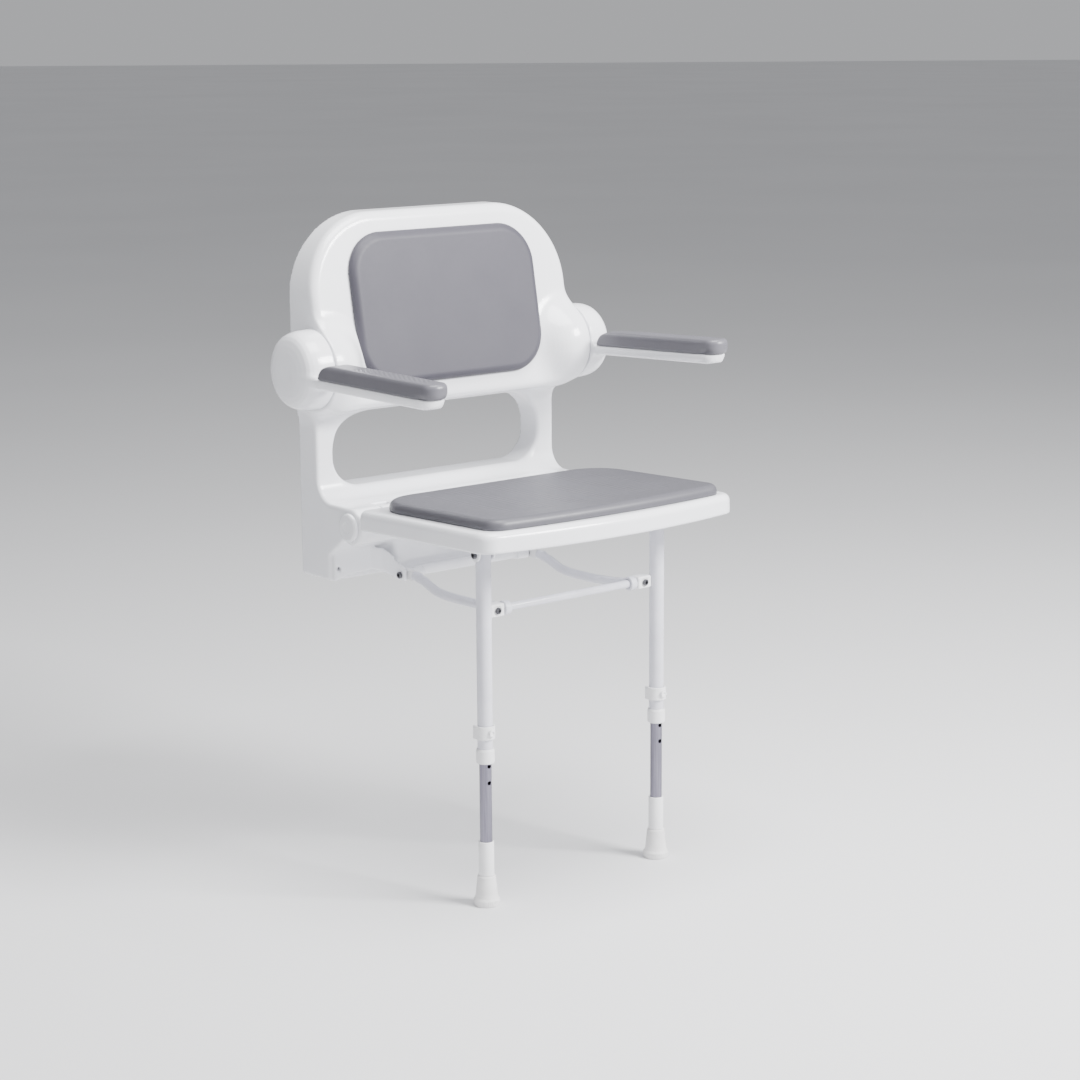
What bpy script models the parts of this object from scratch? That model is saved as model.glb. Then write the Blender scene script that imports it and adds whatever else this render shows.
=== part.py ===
"""A wall-mounted fold-up shower seat with a back, two lift-up arms and two telescopic front legs.

Units are metres and +Z is up. The wall is the plane Y = 0 and the seat faces -Y. The origin lies on
the wall, on the centre line, at the height of the seat's hinge axis. The wall, the two leg pivots and
the two link pivots make a parallelogram, so that the legs stay upright while the seat folds.
"""

import math

import bmesh
import bpy
from mathutils import Matrix, Vector

# Heights are given above the floor, and height() turns them into Z.
HINGE_HEIGHT = 0.529
GAP = 0.0003
SIDES = (("left", -1.0), ("right", 1.0))


def height(above_floor):
    return above_floor - HINGE_HEIGHT


# Back shell: a leaning tray above the opening, and a frame of two posts and a shelf below it.
SHELL_HALF = 0.2400
SHELL_TOP = height(0.978)
SHELL_LOW = height(0.693)
SHELL_CORNER = 0.122
SHELL_LOW_CORNER = 0.050
SHELL_EDGE = 0.013
SKIN = 0.0045
LEAN = 0.185
LEAN_REF_Y = -0.0650
LEAN_REF_Z = height(0.850)
POST_HALF = 0.2275
POST_FRONT = -0.0440
FRAME_BOTTOM = height(0.4395)
FRAME_FRONT = -0.0720
FRAME_KNEE = height(0.478)
SHELF_CURVE = 0.034
OPENING_HALF = 0.1960
OPENING_LOW = height(0.573)
OPENING_CORNER = 0.046
OPENING_CROWN = 0.068

# Front wall between the link brackets, and the lip along its foot.
FRONT_WALL_HALF, FRONT_WALL = 0.1270, -0.0980
LIP_HALF, LIP_FRONT = 0.1050, -0.1175

# Hinge of the seat, with the shell's nose round it.
HINGE_Y = -0.1260
NOSE_RADIUS = 0.0275
NOSE_START = math.radians(-125.0)
ROD_RADIUS = 0.0050
HINGE_CAP_RADIUS = 0.0210
EAR_LOW, EAR_HIGH = 0.1500, 0.1750
EAR_RADIUS = 0.0120

# Arm bosses and arms.
BOSS_Y = -0.0626
BOSS_Z = height(0.757)
BOSS_RADIUS = 0.0585
BOSS_FACE = 0.2410
HUB_OUTER = 0.2850
ARM_LOW, ARM_HIGH = 0.2421, 0.2831
ARM_TIP = -0.3970
ARM_BOTTOM = height(0.7375)
ARM_TOP = height(0.7530)
ARM_PAD_TOP = height(0.7760)
ARM_PAD_REAR = -0.1290
ARM_PIN_RADIUS = 0.0080
# Play in the stops: each arm rests a little off level.
ARM_REST = {"left": math.radians(-0.4), "right": math.radians(2.4)}

# Seat, drawn level and then turned up by its slope about the hinge.
SEAT_SLOPE = math.radians(1.9)
SEAT_HALF = 0.2355
SEAT_REAR = -0.1550
SEAT_CORNER_Y = -0.4540
SEAT_BOW = 0.0280
SEAT_CORNER = 0.028
SEAT_BOTTOM = height(0.5297)
SEAT_TOP = height(0.5592)
SEAT_SKIN = 0.0050
PAD_HALF = 0.2165
PAD_REAR = -0.1670
PAD_CORNER_Y = -0.4490
PAD_BOW = 0.0150
PAD_CORNER = 0.028
PAD_TOP = SEAT_TOP + 0.0155

# Back pad.
BACK_PAD_HALF = 0.1736
BACK_PAD_LOW = height(0.7245)
BACK_PAD_HIGH = height(0.949)
BACK_PAD_CORNER = 0.062
BACK_PAD_THICK = 0.012

# Front legs.
LEG_X = 0.1645
LEG_Y = -0.3600
LEG_PIVOT_Z = height(0.519)
LEG_TOP = height(0.530)
TUBE_RADIUS = 0.0111
TUBE_BORE = 0.0096
TUBE_BOTTOM = height(0.2165)
INNER_RADIUS = 0.0090
INNER_BORE = 0.0076
INNER_TOP = height(0.395)
INNER_BOTTOM = height(0.0103)
HOLE_PITCH = 0.025
PEG_Z = height(0.2595)
HOLE_RADIUS = 0.0032
CLIP_LOW, CLIP_HIGH = height(0.2495), height(0.2690)
BUSH_LOW, BUSH_HIGH = height(0.2135), height(0.2350)
SLEEVE_LOW, SLEEVE_HIGH = height(0.0450), height(0.0960)
FLOOR = height(0.0)

# Links. Both pivots are set off from the seat's pivots by the same amount.
LINK_BACK = 0.0080
LINK_DROP = 0.0860
LINK_X = 0.1195
LINK_RADIUS = 0.0070
LUG_HALF = 0.0055
WALL_PIVOT = (HINGE_Y + LINK_BACK, -LINK_DROP)
BAR_PIVOT = (LEG_Y + LINK_BACK, LEG_PIVOT_Z - LINK_DROP)
BAR_RADIUS = 0.0058
BLOCK_INNER, BLOCK_OUTER = 0.1270, 0.1531
CHEEK_LOW, CHEEK_HIGH = 0.1273, 0.1323

for old in list(bpy.data.objects):
    bpy.data.objects.remove(old)


# ---------------------------------------------------------------- materials


def finish(name, color, roughness, metallic=0.0):
    made = bpy.data.materials.new(name)
    made.use_nodes = True
    shader = made.node_tree.nodes["Principled BSDF"]
    shader.inputs["Base Color"].default_value = (*color, 1.0)
    shader.inputs["Roughness"].default_value = roughness
    shader.inputs["Metallic"].default_value = metallic
    made.diffuse_color = (*color, 1.0)
    return made


SHELL_WHITE = finish("shell_white", (0.86, 0.86, 0.88), 0.25)
PAD_GREY = finish("pad_grey", (0.33, 0.325, 0.36), 0.5)
TUBE_WHITE = finish("tube_white", (0.80, 0.80, 0.83), 0.35)
ALLOY = finish("alloy", (0.55, 0.54, 0.58), 0.35, 1.0)
STEEL = finish("steel", (0.52, 0.52, 0.54), 0.3, 1.0)
FOOT_RUBBER = finish("foot_rubber", (0.80, 0.79, 0.78), 0.6)
TRIM_WHITE = finish("trim_white", (0.84, 0.84, 0.84), 0.35)


# ---------------------------------------------------------------- outlines


def arc(center, radius, start, end, steps):
    """Points on a circle in a plane, from one angle to another."""
    turn = [start + (end - start) * i / steps for i in range(steps + 1)]
    return [(center[0] + radius * math.cos(a), center[1] + radius * math.sin(a)) for a in turn]


def rounded_outline(corners, steps):
    """An outline through (u, v, radius) corners, each turned with an arc that touches both sides."""
    out = []
    count = len(corners)
    for i, (u, v, radius) in enumerate(corners):
        here = Vector((u, v))
        if radius <= 0.0:
            out.append((u, v))
            continue
        to_last = (Vector(corners[i - 1][:2]) - here).normalized()
        to_next = (Vector(corners[(i + 1) % count][:2]) - here).normalized()
        half = to_last.angle(to_next) / 2
        reach = radius / math.tan(half)
        center = here + (to_last + to_next).normalized() * radius / math.sin(half)
        first = here + to_last * reach - center
        last = here + to_next * reach - center
        start = math.atan2(first.y, first.x)
        sweep = math.atan2(last.y, last.x) - start
        sweep = (sweep + math.pi) % (2 * math.pi) - math.pi
        out += arc(center, radius, start, start + sweep, steps)
    return out


def tray_outline(inset):
    """The back shell's front view above the opening."""
    half = SHELL_HALF - inset
    top = SHELL_TOP - inset
    low = SHELL_LOW + inset
    upper = SHELL_CORNER - inset
    lower = SHELL_LOW_CORNER - inset
    corners = [(-half, low, lower), (half, low, lower), (half, top, upper), (-half, top, upper)]
    return rounded_outline(corners, 9)


def front_of_back(z):
    """How far forward the leaning front of the back shell is at one height."""
    return LEAN_REF_Y + LEAN * (z - LEAN_REF_Z)


def frame_profile(inset, rear):
    """The side view of the frame below the tray: post, shelf, hinge nose and side panel."""
    post = POST_FRONT + inset
    shelf = NOSE_RADIUS - inset
    curve = SHELF_CURVE + inset
    nose = NOSE_RADIUS - inset
    points = [(rear, height(0.760)), (rear, FRAME_BOTTOM + inset)]
    points += [(FRAME_FRONT + inset, FRAME_BOTTOM + inset), (FRAME_FRONT + inset, FRAME_KNEE + inset)]
    turn = [NOSE_START + (math.pi / 2 - NOSE_START) * i / 14 for i in range(15)]
    points += [(HINGE_Y - nose * math.cos(a), nose * math.sin(a)) for a in turn]
    center = (post - curve, shelf + curve)
    points += arc(center, curve, -math.pi / 2, 0.0, 7)
    points.append((post, height(0.760)))
    return points


def bowed_outline(half, rear, corner_y, bow, radius, rear_radius, inset):
    """A seat's plan: a straight rear, straight sides and a front that bows forward."""
    half -= inset
    rear -= inset
    front = [(half * k / 6, corner_y + inset - bow * (1 - (k / 6) ** 2)) for k in range(-6, 7)]
    corners = [(half, rear, rear_radius - inset), (-half, rear, rear_radius - inset)]
    corners.append((front[0][0], front[0][1], radius - inset))
    corners += [(u, v, 0.0) for u, v in front[2:-2]]
    corners.append((front[-1][0], front[-1][1], radius - inset))
    return rounded_outline(corners, 6)


# ---------------------------------------------------------------- solids


def place(name, mesh_data, material):
    mesh = bpy.data.meshes.new(name)
    bmesh.ops.recalc_face_normals(mesh_data, faces=mesh_data.faces)
    mesh_data.to_mesh(mesh)
    mesh_data.free()
    made = bpy.data.objects.new(name, mesh)
    bpy.context.scene.collection.objects.link(made)
    if material:
        mesh.materials.append(material)
    return made


def loft(name, rings, material=None):
    """A closed solid through rings that all have the same number of points."""
    data = bmesh.new()
    loops = [[data.verts.new(point) for point in ring] for ring in rings]
    count = len(rings[0])
    for low, high in zip(loops, loops[1:]):
        for i in range(count):
            k = (i + 1) % count
            data.faces.new((low[i], low[k], high[k], high[i]))
    data.faces.new(loops[0])
    data.faces.new(loops[-1])
    return place(name, data, material)


def prism(name, outline, axis, low, high, material=None):
    """An outline pushed along one axis. The outline's two numbers are the other two axes, in order."""
    order = {"X": lambda u, v, w: (w, u, v), "Y": lambda u, v, w: (u, w, v), "Z": lambda u, v, w: (u, v, w)}
    point = order[axis]
    return loft(name, [[point(u, v, w) for u, v in outline] for w in (low, high)], material)


def box(name, low, high, material=None):
    outline = [(low[0], low[1]), (high[0], low[1]), (high[0], high[1]), (low[0], high[1])]
    return prism(name, outline, "Z", low[2], high[2], material)


def turned(name, profile, axis, center, steps, material=None):
    """A profile of (radius, distance along the axis) spun round an axis through center."""
    data = bmesh.new()
    points = [data.verts.new((radius, 0.0, along)) for radius, along in profile]
    edges = [data.edges.new((points[i - 1], points[i])) for i in range(1, len(points))]
    if profile[0][0] > 0.0:
        edges.append(data.edges.new((points[-1], points[0])))
    bmesh.ops.spin(
        data, geom=points + edges, cent=(0, 0, 0), axis=(0, 0, 1), angle=2 * math.pi, steps=steps,
        use_merge=True, use_duplicate=False,
    )
    bmesh.ops.remove_doubles(data, verts=data.verts, dist=1e-6)
    turns = {"X": Matrix.Rotation(math.pi / 2, 4, "Y"), "Y": Matrix.Rotation(-math.pi / 2, 4, "X")}
    data.transform(Matrix.Translation(center) @ turns.get(axis, Matrix.Identity(4)))
    return place(name, data, material)


def rod(name, radius, axis, center, low, high, steps, material=None):
    profile = [(0.0, low), (radius, low), (radius, high), (0.0, high)]
    return turned(name, profile, axis, center, steps, material)


def pipe(name, path, x, radius, sides, material=None):
    """A round bar along a path of (y, z) points at one x."""
    rings = []
    for i, (y, z) in enumerate(path):
        before = Vector(path[max(i - 1, 0)])
        after = Vector(path[min(i + 1, len(path) - 1)])
        along = (after - before).normalized()
        ring = []
        for k in range(sides):
            turn = 2 * math.pi * k / sides
            across = radius * math.sin(turn)
            ring.append((x + radius * math.cos(turn), y - along.y * across, z + along.x * across))
        rings.append(ring)
    return loft(name, rings, material)


def combine(target, operation, *tools):
    """Booleans with helpers, which are hidden and left as wire."""
    for tool in tools:
        tool.hide_render = True
        tool.display_type = "WIRE"
        step = target.modifiers.new(operation.lower(), "BOOLEAN")
        step.operation = operation
        step.solver = "EXACT"
        step.object = tool
    return target


def cut(target, *tools):
    return combine(target, "DIFFERENCE", *tools)


def join(target, *tools):
    return combine(target, "UNION", *tools)


def turn_up(piece, axis, angle):
    """Turns a piece and its helpers about an axis along X, so that the front goes up."""
    y, z = axis
    turn = Matrix.Translation((0, y, z)) @ Matrix.Rotation(-angle, 4, "X") @ Matrix.Translation((0, -y, -z))
    for item in [piece, *helpers(piece)]:
        item.data.transform(turn)
    return piece


def helpers(piece):
    return [step.object for step in piece.modifiers if step.type == "BOOLEAN"]


def mirrored(side, low, high):
    """An interval on one side of the centre line."""
    return tuple(sorted((side * low, side * high)))


# ---------------------------------------------------------------- back shell


def tray(name, inset, rear, edge, material=None):
    """The leaning tray: straight sides from the rear, then a rounded front edge."""
    rings = [[(x, rear, z) for x, z in tray_outline(inset)]]
    for step in range(5):
        turn = math.pi / 2 * step / 4
        outline = tray_outline(inset + edge * (1 - math.cos(turn)))
        back = inset + edge * (1 - math.sin(turn))
        rings.append([(x, front_of_back(z) + back, z) for x, z in outline])
    return loft(name, rings, material)


def frame_solid(name, inset, rear, half):
    return prism(name, frame_profile(inset, rear), "X", -half, half)


def opening_tool(name, grow, low_y, high_y):
    corners = [
        (-OPENING_HALF - grow, OPENING_LOW - grow, OPENING_CORNER + grow),
        (OPENING_HALF + grow, OPENING_LOW - grow, OPENING_CORNER + grow),
        (OPENING_HALF + grow, SHELL_LOW + grow, OPENING_CROWN + grow),
        (-OPENING_HALF - grow, SHELL_LOW + grow, OPENING_CROWN + grow),
    ]
    return prism(name, rounded_outline(corners, 8), "Y", low_y, high_y)


def collar(name, side, thin):
    """The boss on the shell's side that carries an arm: a cone that grows out of the front."""
    profile = [
        (0.0, 0.1770 * side),
        (0.0250 - thin, (0.1790 + thin) * side),
        (0.0460 - thin, (0.1960 + thin) * side),
        (BOSS_RADIUS - 0.0030 - thin, (0.2120 + thin / 2) * side),
        (BOSS_RADIUS - thin, 0.2250 * side),
        (BOSS_RADIUS - thin, (BOSS_FACE - thin) * side),
        (0.0, (BOSS_FACE - thin) * side),
    ]
    return turned(name, profile, "X", (0, BOSS_Y, BOSS_Z), 32)


def back_shell():
    shell = tray("back_shell", 0.0, 0.0, SHELL_EDGE, SHELL_WHITE)
    join(shell, frame_solid("frame_outer", 0.0, 0.0, POST_HALF))
    for label, side in SIDES:
        join(shell, collar("collar_" + label, side, 0.0), link_bracket(label, side))
        low, high = mirrored(side, 0.0900, LINK_X - 0.0080)
        join(shell, rod("lip_boss_" + label, 0.0075, "X", (0, *WALL_PIVOT), low, high, 20))
    wall_low, wall_high = (-FRONT_WALL_HALF, FRONT_WALL, height(0.4410)), (FRONT_WALL_HALF, -0.055, -0.008)
    join(shell, box("front_wall", wall_low, wall_high))
    join(shell, box("lip", (-LIP_HALF, LIP_FRONT, height(0.4365)), (LIP_HALF, -0.085, height(0.4515))))
    cut(shell, opening_tool("opening_cut", 0.0, -0.2, 0.05))
    hollow = frame_solid("frame_inner", SKIN, 0.01, POST_HALF - SKIN)
    cut(hollow, opening_tool("opening_keep", SKIN, -0.2, 0.05))
    hollow_tray = tray("tray_inner", SKIN, 0.01, SHELL_EDGE - SKIN)
    for label, side in SIDES:
        inner = collar("collar_inner_" + label, side, SKIN)
        cut(shell, inner)
        low, high = mirrored(side, EAR_LOW - 0.002, EAR_HIGH + 0.002)
        cut(shell, box("ear_slot_" + label, (low, -0.170, -0.015), (high, -0.1150, 0.0350)))
        low, high = mirrored(side, LINK_X - 0.0095, LINK_X + 0.0095)
        cut(shell, box("link_slot_" + label, (low, -0.170, -0.036), (high, -0.1335, 0.0235)))
        low, high = mirrored(side, 0.0940, 0.1500)
        cut(shell, rod("link_bolt_hole_" + label, 0.0036, "X", (0, *WALL_PIVOT), low, high, 20))
        center = (0, BOSS_Y, BOSS_Z)
        low, high = mirrored(side, 0.230, 0.250)
        cut(shell, rod("arm_pin_hole_" + label, ARM_PIN_RADIUS + GAP, "X", center, low, high, 24))
    wall = FRONT_WALL_HALF - SKIN
    low, high = (-wall, FRONT_WALL + SKIN, height(0.4410) + SKIN), (wall, -0.050, -0.010)
    join(hollow, box("front_wall_inner", low, high))
    cut(shell, hollow_tray, hollow)
    rod_tool = rod("rod_hole", ROD_RADIUS + GAP, "X", (0, HINGE_Y, 0), -0.24, 0.24, 20)
    return cut(shell, rod_tool)


def back_pad():
    """A slab that follows the leaning front, with a bevelled face."""
    layers = ((0.0030, 0.0), (0.0, 0.0025), (0.0, 0.0065), (0.0035, 0.0105), (0.0090, BACK_PAD_THICK))
    rings = []
    for inset, out in layers:
        half = BACK_PAD_HALF - inset
        low, high = BACK_PAD_LOW + inset, BACK_PAD_HIGH - inset
        radius = BACK_PAD_CORNER - inset
        corners = [(-half, low, radius), (half, low, radius), (half, high, radius), (-half, high, radius)]
        outline = rounded_outline(corners, 8)
        rings.append([(x, front_of_back(z) - GAP - out, z) for x, z in outline])
    return loft("back_pad", rings, PAD_GREY)


def wall_plates():
    """The two plates behind the shell that the wall screws clamp, and the screws."""
    made = []
    for name, half, low, high in (
        ("lower_wall_plate", 0.2150, height(0.452), height(0.566)),
        ("upper_wall_plate", 0.1500, height(0.845), height(0.905)),
    ):
        corners = [(-half, low, 0.008), (half, low, 0.008), (half, high, 0.008), (-half, high, 0.008)]
        plate = prism(name, rounded_outline(corners, 3), "Y", -0.005, 0.0, STEEL)
        middle = (low + high) / 2
        for label, side in SIDES:
            x = side * (half - 0.045)
            tool = rod(f"{name}_hole_{label}", 0.0040, "Y", (x, 0, middle), -0.02, 0.02, 16)
            cut(plate, tool)
            profile = [(0.0, 0.0), (0.0037, 0.0), (0.0037, 0.0053), (0.0075, 0.0053)]
            profile += [(0.0075, 0.0078), (0.0050, 0.0098), (0.0, 0.0098)]
            kind = name.split("_", maxsplit=1)[0]
            screw = turned(f"{kind}_wall_screw_{label}", profile, "Y", (0, 0, 0), 12, STEEL)
            screw.data.transform(Matrix.Translation((x, 0, middle)) @ Matrix.Diagonal((1, -1, 1, 1)))
            screw.data.flip_normals()
            made.append(screw)
        made.append(plate)
    return made


def hinge_pieces():
    """The hinge rod right across the nose, and the caps over its ends."""
    made = [rod("hinge_rod", ROD_RADIUS, "X", (0, HINGE_Y, 0), -0.2270, 0.2270, 20, STEEL)]
    face = POST_HALF + GAP
    for label, side in SIDES:
        profile = [
            (0.0, face * side),
            (HINGE_CAP_RADIUS, face * side),
            (HINGE_CAP_RADIUS, (face + 0.0045) * side),
            (HINGE_CAP_RADIUS - 0.003, (face + 0.0065) * side),
            (0.0, (face + 0.0065) * side),
        ]
        made.append(turned(f"hinge_cap_{label}", profile, "X", (0, HINGE_Y, 0), 28, SHELL_WHITE))
    return made


def link_bracket(label, side):
    """A wall that leaves the side panel, turns forward and ends as the cheek of the link's pivot."""
    plan = [(0.2205, -0.0760), (0.1900, -0.0780), (0.1600, -0.0815), (0.1430, -0.0885)]
    plan += [(0.1335, -0.0975), (0.1299, -0.1080), (0.1298, -0.1300)]
    low = [0.4400, 0.4470, 0.4490, 0.4450, 0.4390, 0.4345, 0.4345]
    high = [0.4800, 0.4830, 0.4840, 0.4810, 0.4720, 0.4590, 0.4515]
    half = (CHEEK_HIGH - CHEEK_LOW) / 2
    rings = []
    for i, (x, y) in enumerate(plan):
        before = Vector(plan[max(i - 1, 0)])
        after = Vector(plan[min(i + 1, len(plan) - 1)])
        along = (after - before).normalized()
        off = Vector((-along.y, along.x)) * half
        corners = [(x + off.x, y + off.y), (x - off.x, y - off.y)]
        bottom = [(u * side, v, height(low[i])) for u, v in corners]
        top = [(u * side, v, height(high[i])) for u, v in reversed(corners)]
        rings.append(bottom + top)
    return loft(f"link_bracket_{label}", rings)


def pivot_bolt(name, center, side, inner, face, material):
    """A bolt along X whose head, with a socket, is on the outer side."""
    profile = [
        (0.0, inner * side), (0.0033, inner * side), (0.0033, face * side), (0.0052, face * side),
        (0.0052, (face + 0.0026) * side), (0.0045, (face + 0.0034) * side),
        (0.0024, (face + 0.0034) * side), (0.0024, (face + 0.0010) * side), (0.0, (face + 0.0010) * side),
    ]
    return turned(name, profile, "X", center, 14, material)


# ---------------------------------------------------------------- arms


def arm_pieces(label, side):
    center = (0, BOSS_Y, BOSS_Z)
    hub_profile = [
        (0.0, (BOSS_FACE + 2 * GAP) * side),
        (BOSS_RADIUS, (BOSS_FACE + 2 * GAP) * side),
        (BOSS_RADIUS - 0.0010, (HUB_OUTER - 0.0230) * side),
        (BOSS_RADIUS - 0.0025, (HUB_OUTER - 0.0130) * side),
        (BOSS_RADIUS - 0.0055, (HUB_OUTER - 0.0055) * side),
        (BOSS_RADIUS - 0.0100, (HUB_OUTER - 0.0013) * side),
        (BOSS_RADIUS - 0.0150, HUB_OUTER * side),
        (0.0, HUB_OUTER * side),
    ]
    body = turned(f"arm_body_{label}", hub_profile, "X", center, 42, SHELL_WHITE)
    middle = side * (ARM_LOW + ARM_HIGH) / 2
    half = (ARM_HIGH - ARM_LOW) / 2
    rings = []
    sections = ((0.0045, 0.0130, ARM_BOTTOM), (0.0010, 0.0075, ARM_BOTTOM + 0.005), (0.0, 0.0040, ARM_TOP))
    for inset, tip, z in sections:
        reach = half - inset
        corners = [(middle - reach, -0.1125, 0.0), (middle - reach, ARM_TIP + tip, reach - 0.002)]
        corners += [(middle + reach, ARM_TIP + tip, reach - 0.002), (middle + reach, -0.1125, 0.0)]
        rings.append([(x, y, z) for x, y in rounded_outline(corners, 7)])
    join(body, loft(f"arm_bar_{label}", rings))
    near, far = 0.2300 * side, 0.2760 * side
    ring = [(0.0170, near), (0.0475, near), (0.0440, far), (0.0170, far)]
    cut(body, turned(f"hub_hollow_{label}", ring, "X", center, 32))
    low, high = mirrored(side, 0.230, 0.290)
    cut(body, rod(f"hub_bore_{label}", ARM_PIN_RADIUS + GAP, "X", center, low, high, 24))

    layers = [(0.0015, ARM_TOP + GAP), (0.0, ARM_TOP + 0.003), (0.0, ARM_PAD_TOP - 0.009)]
    layers += [(0.0025, ARM_PAD_TOP - 0.004), (0.0075, ARM_PAD_TOP - 0.0007), (0.013, ARM_PAD_TOP)]
    rings = []
    for inset, z in layers:
        reach = half - inset
        rear, tip = ARM_PAD_REAR - inset, ARM_TIP + inset
        corners = [(middle - reach, rear, 0.006), (middle - reach, tip, reach - 0.001)]
        corners += [(middle + reach, tip, reach - 0.001), (middle + reach, rear, 0.006)]
        rings.append([(x, y, z) for x, y in rounded_outline(corners, 6)])
    pad = loft(f"arm_pad_{label}", rings, PAD_GREY)

    cap_profile = [
        (0.0, (HUB_OUTER + GAP) * side),
        (0.0425, (HUB_OUTER + GAP) * side),
        (0.0405, (HUB_OUTER + 0.0022) * side),
        (0.0300, (HUB_OUTER + 0.0043) * side),
        (0.0140, (HUB_OUTER + 0.0053) * side),
        (0.0, (HUB_OUTER + 0.0056) * side),
    ]
    cap = turned(f"hub_cap_{label}", cap_profile, "X", center, 28, SHELL_WHITE)
    return [turn_up(piece, (BOSS_Y, BOSS_Z), ARM_REST[label]) for piece in (body, pad, cap)]


def arm_pin(label, side):
    inner = 0.1950
    profile = [
        (0.0, inner * side), (0.0130, inner * side), (0.0130, 0.2340 * side),
        (ARM_PIN_RADIUS, 0.2340 * side),
        (ARM_PIN_RADIUS, (HUB_OUTER - GAP) * side), (0.0, (HUB_OUTER - GAP) * side),
    ]
    return turned(f"arm_pin_{label}", profile, "X", (0, BOSS_Y, BOSS_Z), 18, STEEL)


# ---------------------------------------------------------------- seat


def bowed_solid(name, plan, layers, material=None):
    """A solid through plan outlines: each layer is (inset, z)."""
    return loft(name, [[(x, y, z) for x, y in bowed_outline(*plan, inset)] for inset, z in layers], material)


def seat_shell():
    plan = (SEAT_HALF, SEAT_REAR, SEAT_CORNER_Y, SEAT_BOW, SEAT_CORNER, 0.014)
    layers = [(0.0030, SEAT_BOTTOM), (0.0, SEAT_BOTTOM + 0.004), (0.0, SEAT_TOP - 0.011)]
    layers += [(0.0015, SEAT_TOP - 0.006), (0.0050, SEAT_TOP - 0.002), (0.0100, SEAT_TOP)]
    shell = bowed_solid("seat_shell", plan, layers, SHELL_WHITE)
    pocket = [(SEAT_SKIN, SEAT_BOTTOM - 0.01), (SEAT_SKIN, SEAT_TOP - 0.009), (0.0110, SEAT_TOP - 0.005)]
    cut(shell, bowed_solid("seat_pocket", plan, pocket))
    for label, side in SIDES:
        low, high = mirrored(side, EAR_LOW, EAR_HIGH)
        ear = [(HINGE_Y - EAR_RADIUS * math.cos(a), EAR_RADIUS * math.sin(a)) for a in
               [math.radians(-85 - 190 * i / 12) for i in range(13)]]
        ear += [(-0.1580, 0.0090), (-0.1600, 0.0290), (-0.2050, 0.0290), (-0.1660, -0.0115)]
        join(shell, prism(f"ear_{label}", ear, "X", low, high))
        low, high = mirrored(side, EAR_LOW - 0.01, EAR_HIGH + 0.01)
        cut(shell, rod(f"ear_bore_{label}", 0.0081, "X", (0, HINGE_Y, 0), low, high, 24))
    return turn_up(shell, (HINGE_Y, 0), SEAT_SLOPE)


def hinge_bush(label, side):
    low, high = EAR_LOW - 0.0008, EAR_HIGH + 0.0008
    ring = [
        (ROD_RADIUS + GAP, low * side), (0.0078, low * side), (0.0078, high * side),
        (ROD_RADIUS + GAP, high * side),
    ]
    return turned(f"hinge_bush_{label}", ring, "X", (0, HINGE_Y, 0), 16, TRIM_WHITE)


def seat_pad():
    plan = (PAD_HALF, PAD_REAR, PAD_CORNER_Y, PAD_BOW, PAD_CORNER, 0.064)
    layers = [(0.0020, SEAT_TOP + GAP), (0.0, SEAT_TOP + 0.003), (0.0, PAD_TOP - 0.008)]
    layers += [(0.0030, PAD_TOP - 0.003), (0.0090, PAD_TOP)]
    return turn_up(bowed_solid("seat_pad", plan, layers, PAD_GREY), (HINGE_Y, 0), SEAT_SLOPE)


def leg_bracket(label, side):
    """A clevis under the seat: two plates and the flange that joins them."""
    rear, front = -0.2920, -0.3800
    slope = math.tan(SEAT_SLOPE)
    ceiling = SEAT_TOP - 0.0054
    ceilings = [ceiling - (y - HINGE_Y) * slope for y in (rear, front)]
    outline = arc((LEG_Y, LEG_PIVOT_Z), 0.0100, math.pi, 2 * math.pi, 8)
    outline += [(rear - 0.008, 0.0080), (rear, ceilings[0]), (front, ceilings[1])]
    inner, outer = LEG_X - TUBE_RADIUS - 0.0038, LEG_X + TUBE_RADIUS + 0.0038
    low, high = mirrored(side, inner, outer)
    clevis = prism(f"leg_bracket_{label}", outline, "X", low, high, SHELL_WHITE)
    low, high = mirrored(side, LEG_X - TUBE_RADIUS - 0.0005, LEG_X + TUBE_RADIUS + 0.0005)
    cut(clevis, box(f"clevis_gap_{label}", (low, -0.45, -0.06), (high, -0.25, ceilings[0] - 0.003)))
    low, high = mirrored(side, inner - 0.01, outer + 0.01)
    return cut(clevis, rod(f"clevis_hole_{label}", 0.0036, "X", (0, LEG_Y, LEG_PIVOT_Z), low, high, 20))


# ---------------------------------------------------------------- legs


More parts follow.
